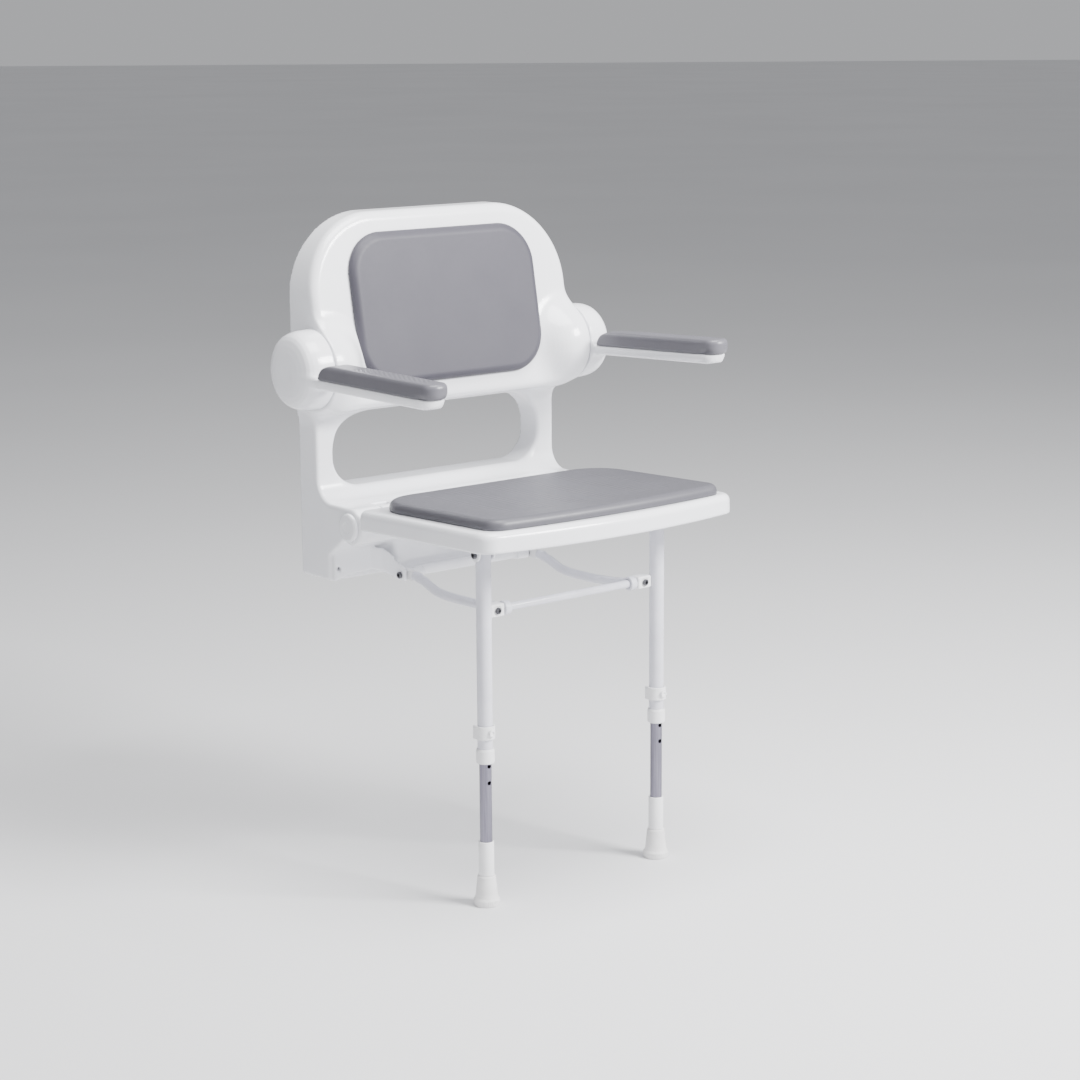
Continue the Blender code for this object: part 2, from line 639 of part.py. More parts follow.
def leg_pieces(label, side):
    """The parts of one leg that don't slide: tube, bush and the block that holds the cross bar."""
    x = side * LEG_X
    at = (x, LEG_Y, 0)
    wall = [
        (TUBE_BORE, TUBE_BOTTOM), (TUBE_RADIUS, TUBE_BOTTOM), (TUBE_RADIUS, LEG_TOP), (TUBE_BORE, LEG_TOP),
    ]
    tube = turned(f"leg_tube_{label}", wall, "Z", at, 24, TUBE_WHITE)
    cut(tube, rod(f"peg_hole_{label}", HOLE_RADIUS, "Y", (x, LEG_Y, PEG_Z), -0.02, 0.0, 16))
    low, high = mirrored(side, LEG_X - 0.02, LEG_X + 0.02)
    cut(tube, rod(f"pivot_hole_{label}", 0.0036, "X", (0, LEG_Y, LEG_PIVOT_Z), low, high, 20))
    wall = [
        (INNER_RADIUS + GAP, BUSH_LOW), (0.0128, BUSH_LOW), (0.0134, BUSH_LOW + 0.002),
        (0.0134, BUSH_HIGH - 0.003), (0.0122, BUSH_HIGH), (TUBE_RADIUS + GAP, BUSH_HIGH),
        (TUBE_RADIUS + GAP, TUBE_BOTTOM - GAP), (INNER_RADIUS + GAP, TUBE_BOTTOM - GAP),
    ]
    bush = turned(f"tube_bush_{label}", wall, "Z", at, 24, TRIM_WHITE)
    y, z = BAR_PIVOT
    corners = [(y - 0.0095, z - 0.0095, 0.003), (y + 0.0095, z - 0.0095, 0.003)]
    corners += [(y + 0.0095, z + 0.0095, 0.003), (y - 0.0095, z + 0.0095, 0.003)]
    low, high = mirrored(side, BLOCK_INNER, BLOCK_OUTER)
    block = prism(f"bar_block_{label}", rounded_outline(corners, 3), "X", low, high, TRIM_WHITE)
    face = y - 0.0095 - GAP
    profile = [
        (0.0, face), (0.0050, face), (0.0050, face - 0.0018), (0.0040, face - 0.0028),
        (0.0026, face - 0.0028), (0.0026, face - 0.0008), (0.0, face - 0.0008),
    ]
    middle = side * (BLOCK_INNER + BLOCK_OUTER) / 2
    bolt = turned(f"block_bolt_{label}", profile, "Y", (middle, 0, z), 14, STEEL)
    return [tube, bush, block, bolt]


def leg_pin(label, side):
    outer = LEG_X + TUBE_RADIUS + 0.0038 + GAP
    inner = LEG_X - TUBE_RADIUS - 0.0060
    name = f"leg_pin_{label}"
    return pivot_bolt(name, (0, LEG_Y, LEG_PIVOT_Z), side, inner, outer, STEEL)


def sliding_pieces(label, side):
    """The parts that move when a leg is made longer: inner tube, sleeve and foot."""
    x = side * LEG_X
    at = (x, LEG_Y, 0)
    wall = [
        (INNER_BORE, INNER_BOTTOM), (INNER_RADIUS, INNER_BOTTOM), (INNER_RADIUS, INNER_TOP),
        (INNER_BORE, INNER_TOP),
    ]
    tube = turned(f"inner_tube_{label}", wall, "Z", at, 20, ALLOY)
    for step in range(-3, 4):
        z = PEG_Z + step * HOLE_PITCH
        cut(tube, rod(f"pitch_hole_{label}_{step + 3}", HOLE_RADIUS, "Y", (x, LEG_Y, z), -0.02, 0.0, 10))
    wall = [
        (INNER_RADIUS + GAP, SLEEVE_LOW + GAP), (0.0113, SLEEVE_LOW + GAP), (0.0113, SLEEVE_HIGH - 0.001),
        (0.0105, SLEEVE_HIGH), (INNER_RADIUS + GAP, SLEEVE_HIGH),
    ]
    sleeve = turned(f"leg_sleeve_{label}", wall, "Z", at, 24, TRIM_WHITE)
    cup = [
        (0.0, FLOOR), (0.0185, FLOOR), (0.0193, FLOOR + 0.004), (0.0193, FLOOR + 0.009),
        (0.0170, FLOOR + 0.0125),
        (0.0158, FLOOR + 0.018), (0.0134, SLEEVE_LOW - 0.002), (0.0124, SLEEVE_LOW),
        (INNER_RADIUS + GAP, SLEEVE_LOW), (INNER_RADIUS + GAP, INNER_BOTTOM - GAP),
        (0.0, INNER_BOTTOM - GAP),
    ]
    foot = turned(f"foot_{label}", cup, "Z", at, 28, FOOT_RUBBER)
    return [tube, sleeve, foot]


def height_clip(label, side):
    """A U-shaped spring clip with a peg that enters the tube's hole, and a button in front."""
    x = side * LEG_X
    bore, outer = TUBE_RADIUS + GAP, 0.0146
    outline = [(x + outer, LEG_Y + 0.010)]
    outline += arc((x, LEG_Y), outer, 0.0, -math.pi, 14)
    outline += [(x - outer, LEG_Y + 0.010), (x - bore, LEG_Y + 0.010)]
    outline += arc((x, LEG_Y), bore, -math.pi, 0.0, 14)
    outline.append((x + bore, LEG_Y + 0.010))
    clip = prism(f"height_clip_{label}", outline, "Z", CLIP_LOW, CLIP_HIGH, TRIM_WHITE)
    center = (x, LEG_Y, PEG_Z)
    button = [(0.0, -0.0176), (0.0038, -0.0176), (0.0052, -0.0162), (0.0052, -0.0130), (0.0, -0.0130)]
    join(clip, turned(f"clip_button_{label}", button, "Y", center, 20))
    return join(clip, rod(f"clip_peg_{label}", HOLE_RADIUS - GAP, "Y", center, -0.0135, -0.0094, 14))


def cross_bar():
    center = (0, *BAR_PIVOT)
    reach = BLOCK_INNER - GAP
    return rod("cross_bar", BAR_RADIUS, "X", center, -reach, reach, 24, TUBE_WHITE)


# ---------------------------------------------------------------- links


def link_pieces(label, side):
    """A bar that dips below the hinge nose, its eye round the cross bar, and the lug at the wall end."""
    x = side * LINK_X
    wall_y, wall_z = WALL_PIVOT
    bar_y, bar_z = BAR_PIVOT
    lug_end = wall_y - 0.0190
    path = [
        (lug_end - GAP, wall_z), (lug_end - 0.004, wall_z), (lug_end - 0.011, wall_z - 0.0006),
        (wall_y - 0.044, wall_z - 0.0042),
        (wall_y - 0.058, wall_z - 0.0100), (wall_y - 0.072, wall_z - 0.0143),
        (wall_y - 0.088, wall_z - 0.0164), (wall_y - 0.120, wall_z - 0.0172),
        (wall_y - 0.160, wall_z - 0.0166), (wall_y - 0.195, wall_z - 0.0140),
        (bar_y + 0.006, bar_z),
    ]
    bar = pipe(f"link_bar_{label}", path, x, LINK_RADIUS, 16, TUBE_WHITE)
    low, high = mirrored(side, LINK_X - LUG_HALF, LINK_X + LUG_HALF)
    join(bar, rod(f"eye_outer_{label}", 0.0105, "X", (0, bar_y, bar_z), low, high, 24))
    low, high = mirrored(side, LINK_X - 0.02, LINK_X + 0.02)
    cut(bar, rod(f"eye_bore_{label}", BAR_RADIUS + GAP, "X", (0, bar_y, bar_z), low, high, 24))
    outline = arc((wall_y, wall_z), 0.0075, math.pi / 2, -math.pi / 2, 8)
    outline += [(lug_end, wall_z - 0.0068), (lug_end, wall_z + 0.0068)]
    low, high = mirrored(side, LINK_X - LUG_HALF, LINK_X + LUG_HALF)
    lug = prism(f"link_lug_{label}", outline, "X", low, high, TRIM_WHITE)
    low, high = mirrored(side, LINK_X - 0.01, LINK_X + 0.01)
    cut(lug, rod(f"lug_hole_{label}", 0.0036, "X", (0, wall_y, wall_z), low, high, 20))
    return [bar, lug]


# ---------------------------------------------------------------- assembly


def carry(name, pivot, pieces):
    """Parents pieces, with their helpers, to an empty on their joint's axis."""
    empty = bpy.data.objects.new(name, None)
    empty.location = pivot
    bpy.context.scene.collection.objects.link(empty)
    for piece in pieces:
        for item in [piece, *helpers(piece)]:
            item.data.transform(Matrix.Translation(-Vector(pivot)))
            item.parent = empty
    return empty


def build():
    back_shell()
    back_pad()
    wall_plates()
    hinge_pieces()
    seat = [seat_shell(), seat_pad()]
    legs = [cross_bar()]
    for label, side in SIDES:
        bolt_face = CHEEK_HIGH + GAP
        pivot_bolt(f"link_bolt_{label}", (0, *WALL_PIVOT), side, 0.0945, bolt_face, STEEL)
        arm_pin(label, side)
        carry(f"arm_axis_{label}", (side * BOSS_FACE, BOSS_Y, BOSS_Z), arm_pieces(label, side))
        carry(f"link_axis_{label}", (side * LINK_X, *WALL_PIVOT), link_pieces(label, side))
        seat += [hinge_bush(label, side), leg_bracket(label, side), leg_pin(label, side)]
        legs += leg_pieces(label, side)
        carry(f"leg_slide_{label}", (side * LEG_X, LEG_Y, BUSH_LOW), sliding_pieces(label, side))
        carry(f"clip_slide_{label}", (side * LEG_X, LEG_Y, PEG_Z), [height_clip(label, side)])
    carry("seat_axis", (0, HINGE_Y, 0), seat)
    carry("leg_axis", (0, LEG_Y, LEG_PIVOT_Z), legs)
    for made in bpy.data.objects:
        if made.type == "MESH":
            made.data.shade_smooth()
            made.data.set_sharp_from_angle(angle=math.radians(35))


build()
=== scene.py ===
"""The looks of a wall-mounted fold-up shower seat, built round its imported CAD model.

Most pieces are modelled as distance fields: a shape is a function of x, y and z that is negative inside
the piece, and net() turns it into an even mesh of quads that lies on its surface.
"""

import math

import bmesh
import bpy
import numpy as np
from mathutils import Matrix, Vector


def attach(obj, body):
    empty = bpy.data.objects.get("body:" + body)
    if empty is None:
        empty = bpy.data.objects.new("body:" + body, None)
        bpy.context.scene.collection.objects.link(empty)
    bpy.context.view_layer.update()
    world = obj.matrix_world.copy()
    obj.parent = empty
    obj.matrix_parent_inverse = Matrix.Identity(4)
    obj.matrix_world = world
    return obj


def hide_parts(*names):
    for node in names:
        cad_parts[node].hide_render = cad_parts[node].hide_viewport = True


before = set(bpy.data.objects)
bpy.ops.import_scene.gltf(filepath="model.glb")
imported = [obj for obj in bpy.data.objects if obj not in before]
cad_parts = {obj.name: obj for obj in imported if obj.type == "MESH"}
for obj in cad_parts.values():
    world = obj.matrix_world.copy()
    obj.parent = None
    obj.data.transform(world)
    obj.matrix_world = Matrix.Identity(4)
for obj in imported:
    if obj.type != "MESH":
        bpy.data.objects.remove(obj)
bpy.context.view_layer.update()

SIDES = (("left", -1.0), ("right", 1.0))
HINGE_HEIGHT = 0.529


def height(above_floor):
    return above_floor - HINGE_HEIGHT


HINGE_Y = -0.1260
BOSS_Y, BOSS_Z = -0.0626, height(0.757)
ARM_REST = {"left": math.radians(-0.4), "right": math.radians(2.4)}
SEAT_SLOPE = math.radians(1.9)
SEAT_BOTTOM, SEAT_TOP = height(0.5297), height(0.5592)
PAD_TOP = SEAT_TOP + 0.0155
LEG_X, LEG_Y, LEG_PIVOT_Z = 0.1645, -0.3600, height(0.519)
LINK_X = 0.1195
WALL_PIVOT = (HINGE_Y + 0.0080, -0.0860)
BAR_PIVOT = (LEG_Y + 0.0080, LEG_PIVOT_Z - 0.0860)
PEG_Z = height(0.2595)
FLOOR = height(0.0)


# ---------------------------------------------------------------- fields


def arc(center, radius, start, end, steps):
    turn = [start + (end - start) * i / steps for i in range(steps + 1)]
    return [(center[0] + radius * math.cos(a), center[1] + radius * math.sin(a)) for a in turn]


def rounded_outline(corners, steps):
    """An outline through (u, v, radius) corners, each turned with an arc that touches both sides."""
    out = []
    count = len(corners)
    for i, (u, v, radius) in enumerate(corners):
        here = Vector((u, v))
        if radius <= 0.0:
            out.append((u, v))
            continue
        to_last = (Vector(corners[i - 1][:2]) - here).normalized()
        to_next = (Vector(corners[(i + 1) % count][:2]) - here).normalized()
        half = to_last.angle(to_next) / 2
        reach = radius / math.tan(half)
        center = here + (to_last + to_next).normalized() * radius / math.sin(half)
        first = here + to_last * reach - center
        last = here + to_next * reach - center
        start = math.atan2(first.y, first.x)
        sweep = math.atan2(last.y, last.x) - start
        sweep = (sweep + math.pi) % (2 * math.pi) - math.pi
        out += arc(center, radius, start, start + sweep, steps)
    return out


def polygon(outline, u, v):
    """Signed distance from points (u, v) to a closed outline."""
    nearest = None
    within = None
    for (au, av), (bu, bv) in zip(outline, outline[1:] + outline[:1]):
        eu, ev = bu - au, bv - av
        wu, wv = u - au, v - av
        t = np.clip((wu * eu + wv * ev) / max(eu * eu + ev * ev, 1e-18), 0.0, 1.0)
        gap = (wu - eu * t) ** 2 + (wv - ev * t) ** 2
        nearest = gap if nearest is None else np.minimum(nearest, gap)
        if av != bv:
            crossed = ((av > v) != (bv > v)) & (u < eu * (v - av) / (bv - av) + au)
            within = crossed if within is None else within ^ crossed
    return np.where(within, -1.0, 1.0) * np.sqrt(nearest)


def rectangle(u, v, low, high, radii):
    """Signed distance to an upright rectangle whose lower and upper corners have their own radii."""
    middle, half = (low[0] + high[0]) / 2, (high[0] - low[0]) / 2
    du = np.abs(u - middle) - half
    change = (low[1] + high[1] + radii[0] - radii[1]) / 2
    dv = np.where(v > change, v - high[1], low[1] - v)
    radius = np.where(v > change, radii[1], radii[0])
    outside = np.hypot(np.maximum(du + radius, 0.0), np.maximum(dv + radius, 0.0))
    return outside + np.minimum(np.maximum(du, dv) + radius, 0.0) - radius


def slab(u, low, high):
    return np.maximum(low - u, u - high)


def both(a, b, radius=0.0):
    """Where a and b overlap, with the edge between them rounded."""
    if radius <= 0.0:
        return np.maximum(a, b)
    outside = np.hypot(np.maximum(a + radius, 0.0), np.maximum(b + radius, 0.0))
    return outside + np.minimum(np.maximum(a, b) + radius, 0.0) - radius


def either(a, b, blend=0.0):
    """a and b together, with the corner between them filled."""
    if blend <= 0.0:
        return np.minimum(a, b)
    near = np.maximum(blend - np.abs(a - b), 0.0) / blend
    return np.minimum(a, b) - near * near * blend / 4


def without(a, b, radius=0.0):
    return both(a, -b, radius)


def block(x, y, z, low, high, radius=0.0):
    radius = min(radius, *((b - a) / 2 for a, b in zip(low, high)))
    gaps = [np.abs(p - (a + b) / 2) - (b - a) / 2 + radius for p, a, b in zip((x, y, z), low, high)]
    outside = np.sqrt(sum(np.maximum(gap, 0.0) ** 2 for gap in gaps))
    return outside + np.minimum(np.maximum(np.maximum(gaps[0], gaps[1]), gaps[2]), 0.0) - radius


def cylinder(u, v, w, center, radius, low, high, edge=0.0):
    """A round bar along w between low and high."""
    return both(np.hypot(u - center[0], v - center[1]) - radius, slab(w, low, high), edge)


def rope(points, radius, x, y, z):
    """A round bar along a path of points."""
    nearest = None
    for a, b in zip(points, points[1:]):
        e = [q - p for p, q in zip(a, b)]
        w = [p - q for p, q in zip((x, y, z), a)]
        t = np.clip(sum(p * q for p, q in zip(w, e)) / sum(q * q for q in e), 0.0, 1.0)
        gap = sum((p - q * t) ** 2 for p, q in zip(w, e))
        nearest = gap if nearest is None else np.minimum(nearest, gap)
    return np.sqrt(nearest) - radius


# ---------------------------------------------------------------- meshes

CORNERS = [(i, j, k) for i in (0, 1) for j in (0, 1) for k in (0, 1)]
EDGES = [(a, b) for a in range(8) for b in range(a + 1, 8)
         if sum(abs(p - q) for p, q in zip(CORNERS[a], CORNERS[b])) == 1]

SETTLE_ROUNDS = 2
SHARP_ANGLE = math.radians(38)


def settle(shape, points, quads, step):
    """Evens out the mesh and puts every point exactly on the surface."""
    links = np.concatenate([quads[:, [i, (i + 1) % 4]] for i in range(4)])
    count = len(points)
    degree = np.bincount(links[:, 0], minlength=count) + np.bincount(links[:, 1], minlength=count)
    reach = 0.1 * step
    for _ in range(SETTLE_ROUNDS):
        for axis in range(3):
            values = points[:, axis]
            total = np.bincount(links[:, 0], values[links[:, 1]], count)
            total += np.bincount(links[:, 1], values[links[:, 0]], count)
            points[:, axis] = values + 0.5 * (total / degree - values)
        here = shape(*points.T)
        slope = np.empty_like(points)
        for axis in range(3):
            ahead, behind = points.copy(), points.copy()
            ahead[:, axis] += reach
            behind[:, axis] -= reach
            slope[:, axis] = (shape(*ahead.T) - shape(*behind.T)) / (2 * reach)
        steepness = np.maximum((slope ** 2).sum(1), 0.25)
        move = np.clip(here / steepness, -step, step)
        points -= slope * move[:, None]
    return points


def net(name, shape, low, high, step):
    """A mesh of quads on the surface where shape is zero."""
    axes = [np.arange(low[a] - 3.2 * step, high[a] + 4 * step, step) for a in range(3)]
    sizes = [len(a) for a in axes]
    value = shape(axes[0][:, None, None], axes[1][None, :, None], axes[2][None, None, :])
    value = np.broadcast_to(value, sizes)
    inside = value < 0.0
    cells = [n - 1 for n in sizes]

    def at(array, corner):
        return array[tuple(slice(c, c + n) for c, n in zip(corner, cells))]

    total = sum(at(inside, corner).astype(np.int8) for corner in CORNERS)
    active = (total > 0) & (total < 8)
    number = np.full(cells, -1, np.int64)
    number[active] = np.arange(np.count_nonzero(active))
    values = [at(value, corner)[active] for corner in CORNERS]
    place = np.zeros((len(values[0]), 3))
    crossings = np.zeros(len(values[0]))
    for a, b in EDGES:
        hit = (values[a] < 0.0) != (values[b] < 0.0)
        change = np.where(hit, values[a] - values[b], 1.0)
        t = np.where(hit, values[a] / change, 0.0)
        for axis in range(3):
            here = CORNERS[a][axis] + t * (CORNERS[b][axis] - CORNERS[a][axis])
            place[:, axis] += np.where(hit, here, 0.0)
        crossings += hit
    origin = np.array([a[0] for a in axes])
    points = (np.argwhere(active) + place / crossings[:, None]) * step + origin
    quads = []
    for a in range(3):
        b, c = (a + 1) % 3, (a + 2) % 3
        first = inside.take(range(sizes[a] - 1), axis=a)
        second = inside.take(range(1, sizes[a]), axis=a)
        where = np.argwhere(first != second)
        ring = []
        for db, dc in ((0, 0), (-1, 0), (-1, -1), (0, -1)):
            cell = where.copy()
            cell[:, b] += db
            cell[:, c] += dc
            ring.append(number[tuple(cell.T)])
        quad = np.stack(ring, 1)
        leaving = first[tuple(where.T)]
        quad[~leaving] = quad[~leaving][:, ::-1]
        quads.append(quad)
    quads = np.concatenate(quads)
    points = settle(shape, points, quads, step)
    mesh = bpy.data.meshes.new(name)
    mesh.vertices.add(len(points))
    mesh.vertices.foreach_set("co", points.astype(np.float32).ravel())
    mesh.loops.add(len(quads) * 4)
    mesh.loops.foreach_set("vertex_index", quads.astype(np.int32).ravel())
    mesh.polygons.add(len(quads))
    mesh.polygons.foreach_set("loop_start", np.arange(0, len(quads) * 4, 4, dtype=np.int32))
    mesh.update(calc_edges=True)
    mesh.validate()
    mesh.shade_smooth()
    return show(name, mesh)


def show(name, mesh):
    made = bpy.data.objects.new(name, mesh)
    bpy.context.scene.collection.objects.link(made)
    return made


def turned(name, profile, axis, center, steps=56):
    """A profile of (radius, distance along the axis) spun round an axis through center."""
    data = bmesh.new()
    points = [data.verts.new((radius, 0.0, along)) for radius, along in profile]
    edges = [data.edges.new((points[i - 1], points[i])) for i in range(1, len(points))]
    if profile[0][0] > 0.0:
        edges.append(data.edges.new((points[-1], points[0])))
    bmesh.ops.spin(
        data, geom=points + edges, cent=(0, 0, 0), axis=(0, 0, 1), angle=2 * math.pi, steps=steps,
        use_merge=True, use_duplicate=False,
    )
    bmesh.ops.remove_doubles(data, verts=data.verts, dist=1e-6)
    turns = {"X": Matrix.Rotation(math.pi / 2, 4, "Y"), "Y": Matrix.Rotation(-math.pi / 2, 4, "X")}
    data.transform(Matrix.Translation(center) @ turns.get(axis, Matrix.Identity(4)))
    bmesh.ops.recalc_face_normals(data, faces=data.faces)
    mesh = bpy.data.meshes.new(name)
    data.to_mesh(mesh)
    data.free()
    mesh.shade_smooth()
    mesh.set_sharp_from_angle(angle=SHARP_ANGLE)
    return show(name, mesh)


def pierce(piece, *tools):
    """Cuts tools out of a piece, and removes them."""
    for tool in tools:
        step = piece.modifiers.new("cut", "BOOLEAN")
        step.operation = "DIFFERENCE"
        step.solver = "EXACT"
        step.object = tool
    bpy.context.view_layer.update()
    seen = piece.evaluated_get(bpy.context.evaluated_depsgraph_get())
    mesh = bpy.data.meshes.new_from_object(seen)
    piece.modifiers.clear()
    piece.data = mesh
    mesh.shade_smooth()
    mesh.set_sharp_from_angle(angle=SHARP_ANGLE)
    for tool in tools:
        bpy.data.objects.remove(tool)
    return piece


def turn_up(piece, axis, angle):
    """Turns a piece about an axis along X, so that the front goes up."""
    y, z = axis
    shift = Matrix.Translation((0, y, z))
    piece.data.transform(shift @ Matrix.Rotation(-angle, 4, "X") @ shift.inverted())
    return piece


def dress(piece, material, body, slot, *nodes):
    """Gives a piece its material and its place in the frame."""
    piece.data.materials.clear()
    piece.data.materials.append(material)
    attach(piece, body)
    if nodes:
        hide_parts(*nodes)
    return piece


# ---------------------------------------------------------------- materials


class Surface:
    """A Principled material whose colour, roughness and relief come from procedural nodes."""

    def __init__(self, name, roughness, metallic=0.0, coat=0.0, specular=0.5):
        self.material = bpy.data.materials.new(name)
        self.material.use_nodes = True
        self.nodes = self.material.node_tree.nodes
        self.shader = self.nodes["Principled BSDF"]
        self.shader.inputs["Roughness"].default_value = roughness
        self.shader.inputs["Metallic"].default_value = metallic
        self.shader.inputs["Coat Weight"].default_value = coat
        self.shader.inputs["Coat Roughness"].default_value = 0.08
        self.shader.inputs["Specular IOR Level"].default_value = specular
        self.place = self.nodes.new("ShaderNodeTexCoord").outputs["Object"]
        self.relief = None

    def link(self, source, target):
        self.material.node_tree.links.new(source, target)

    def stretched(self, scale):
        node = self.nodes.new("ShaderNodeMapping")
        node.inputs["Scale"].default_value = scale
        self.link(self.place, node.inputs["Vector"])
        return node.outputs["Vector"]

    def noise(self, scale, detail, stretch=None):
        node = self.nodes.new("ShaderNodeTexNoise")
        node.inputs["Scale"].default_value = scale
        node.inputs["Detail"].default_value = detail
        self.link(self.stretched(stretch) if stretch else self.place, node.inputs["Vector"])
        return node.outputs["Fac"]

    def cells(self, scale):
        node = self.nodes.new("ShaderNodeTexVoronoi")
        node.feature = "SMOOTH_F1"
        node.inputs["Scale"].default_value = scale
        self.link(self.place, node.inputs["Vector"])
        return node.outputs["Distance"]

    def ramp(self, source, stops):
        node = self.nodes.new("ShaderNodeValToRGB")
        for element, (place, color) in zip(node.color_ramp.elements, stops):
            element.position = place
            element.color = (*color, 1.0)
        self.link(source, node.inputs["Fac"])
        return node.outputs["Color"]

    def spread(self, source, low, high):
        node = self.nodes.new("ShaderNodeMapRange")
        node.inputs["To Min"].default_value = low
        node.inputs["To Max"].default_value = high
        self.link(source, node.inputs["Value"])
        return node.outputs["Result"]

    def color(self, source):
        self.link(source, self.shader.inputs["Base Color"])

    def rough(self, source):
        self.link(source, self.shader.inputs["Roughness"])

    def bump(self, source, depth, strength=1.0):
        node = self.nodes.new("ShaderNodeBump")
        node.inputs["Distance"].default_value = depth
        node.inputs["Strength"].default_value = strength
        self.link(source, node.inputs["Height"])
        if self.relief:
            self.link(self.relief, node.inputs["Normal"])
        self.relief = node.outputs["Normal"]
        self.link(self.relief, self.shader.inputs["Normal"])


def plastic(name, dark, pale, rough_low, rough_high, coat=0.0, grain=0.00002):
    """Moulded plastic: a faint cloudiness, uneven gloss and fine orange peel."""
    made = Surface(name, rough_low, coat=coat)
    made.color(made.ramp(made.noise(9.0, 4.0), ((0.35, dark), (0.65, pale))))
    made.rough(made.spread(made.noise(55.0, 5.0), rough_low, rough_high))
    made.bump(made.noise(420.0, 2.0), grain, 0.5)
    made.bump(made.noise(60.0, 2.0), grain * 4, 0.35)
    return made.material


def foam(name, dark, pale, rough_low, rough_high, grain):
    """Skinned foam: a pebbled skin over a soft, slightly uneven body."""
    made = Surface(name, rough_low, specular=0.45)
    tone = made.noise(14.0, 4.0)
    made.color(made.ramp(tone, ((0.30, dark), (0.70, pale))))
    made.rough(made.spread(made.noise(160.0, 4.0), rough_low, rough_high))
    made.bump(made.cells(950.0), grain, 0.6)
    made.bump(made.noise(2400.0, 2.0), grain * 0.4, 0.4)
    made.bump(made.noise(22.0, 2.0), 0.0008, 0.18)
    return made.material


def powder_coat_painted_shade(name):
    made = Surface(name, 0.3, coat=0.25)
    tone = made.noise(30.0, 4.0)
    # Painted shade: this grey, well below the white shell, colours the white tubes as they look in shade.
    made.color(made.ramp(tone, ((0.3, (0.62, 0.62, 0.68)), (0.7, (0.68, 0.68, 0.74)))))
    made.rough(made.spread(made.noise(240.0, 3.0), 0.26, 0.40))
    made.bump(made.noise(1100.0, 2.0), 0.00004, 0.6)
    made.bump(made.noise(190.0, 2.0), 0.00010, 0.3)
    return made.material


def brushed(name, dark, pale, stretch, rough_low, rough_high):
    """Drawn or brushed metal, with its lines along the piece."""
    made = Surface(name, rough_low, metallic=1.0)
    lines = made.noise(60.0, 5.0, stretch)
    made.color(made.ramp(lines, ((0.30, dark), (0.70, pale))))
    made.rough(made.spread(made.noise(35.0, 4.0, stretch), rough_low, rough_high))
    made.bump(lines, 0.00002, 0.35)
    return made.material


def rubber(name):
    made = Surface(name, 0.5, specular=0.4)
    tone = made.noise(40.0, 5.0)
    made.color(made.ramp(tone, ((0.30, (0.70, 0.69, 0.69)), (0.70, (0.80, 0.79, 0.79)))))
    made.rough(made.spread(made.noise(200.0, 3.0), 0.42, 0.62))
    made.bump(made.noise(1500.0, 2.0), 0.00005, 0.5)
    return made.material


SHELL = plastic("shell_white", (0.845, 0.85, 0.885), (0.875, 0.88, 0.91), 0.16, 0.26, coat=0.35)
TRIM = plastic("trim_white", (0.80, 0.80, 0.81), (0.84, 0.84, 0.85), 0.30, 0.42, grain=0.00003)
# The three pads are one grey foam. Their base colours differ as painted light and shade: the upright back
# pad is darkest (painted shade), the arm pads are lightest (painted light), and the seat pad lies between.
BACK_FOAM_PAINTED_SHADE = foam("back_pad_foam_painted_shade", (0.052, 0.049, 0.064), (0.058, 0.055, 0.070), 0.48, 0.60, 0.00006)
SEAT_FOAM = foam("seat_pad_foam", (0.088, 0.086, 0.100), (0.096, 0.094, 0.108), 0.38, 0.50, 0.00006)
ARM_FOAM_PAINTED_LIGHT = foam("arm_pad_foam_painted_light", (0.125, 0.122, 0.140), (0.136, 0.133, 0.151), 0.30, 0.38, 0.00001)
# The white legs, links and cross bar get this greyed colour as painted shade.
TUBE_PAINTED_SHADE = powder_coat_painted_shade("tube_white")
ALLOY = brushed("anodised_alloy", (0.19, 0.18, 0.23), (0.26, 0.25, 0.30), (9.0, 9.0, 0.25), 0.30, 0.44)
STEEL = brushed("screw_steel", (0.42, 0.42, 0.44), (0.60, 0.60, 0.62), (4.0, 4.0, 4.0), 0.22, 0.36)
BOLT = brushed("bolt_steel", (0.07, 0.07, 0.08), (0.16, 0.16, 0.17), (4.0, 4.0, 4.0), 0.30, 0.45)
RUBBER = rubber("foot_rubber")


# ---------------------------------------------------------------- back shell

# Just over two of the net's cells, so that the skin's two faces never share a cell.
SKIN = 0.0056
SHELL_HALF, SHELL_TOP, SHELL_LOW = 0.2400, height(0.978), height(0.693)
SHELL_CORNER, SHELL_LOW_CORNER, SHELL_EDGE = 0.122, 0.050, 0.013
POST_HALF, POST_FRONT, POST_TOP = 0.2275, -0.0440, height(0.760)
FRAME_BOTTOM, FRAME_KNEE, FRAME_FRONT = height(0.4395), height(0.478), -0.0720
SHELF_CURVE = 0.034
OPENING_HALF, OPENING_LOW = 0.1960, height(0.573)
OPENING_RADII = (0.046, 0.068)
LEAN, LEAN_Y, LEAN_Z = 0.185, -0.0650, height(0.850)
BOSS_RADIUS, BOSS_FACE = 0.0585, 0.2410
NOSE_RADIUS, NOSE_START = 0.0275, math.radians(-125.0)
EAR_RADIUS, EAR_LOW, EAR_HIGH, EAR_GAP = 0.0120, 0.1500, 0.1750, 0.0020


def frame_profile(inset):
    """The side view of the frame below the tray: post, shelf, hinge nose and side panel."""
    nose = NOSE_RADIUS - inset
    curve = SHELF_CURVE + inset
    points = [(0.02, POST_TOP), (0.02, FRAME_BOTTOM + inset)]
    points += [(FRAME_FRONT + inset, FRAME_BOTTOM + inset), (FRAME_FRONT + inset, FRAME_KNEE + inset)]
    for i in range(29):
        turn = NOSE_START + (math.pi / 2 - NOSE_START) * i / 28
        points.append((HINGE_Y - nose * math.cos(turn), nose * math.sin(turn)))
    center = (POST_FRONT + inset - curve, nose + curve)
    points += arc(center, curve, -math.pi / 2, 0.0, 14)
    points.append((POST_FRONT + inset, POST_TOP))
    return points


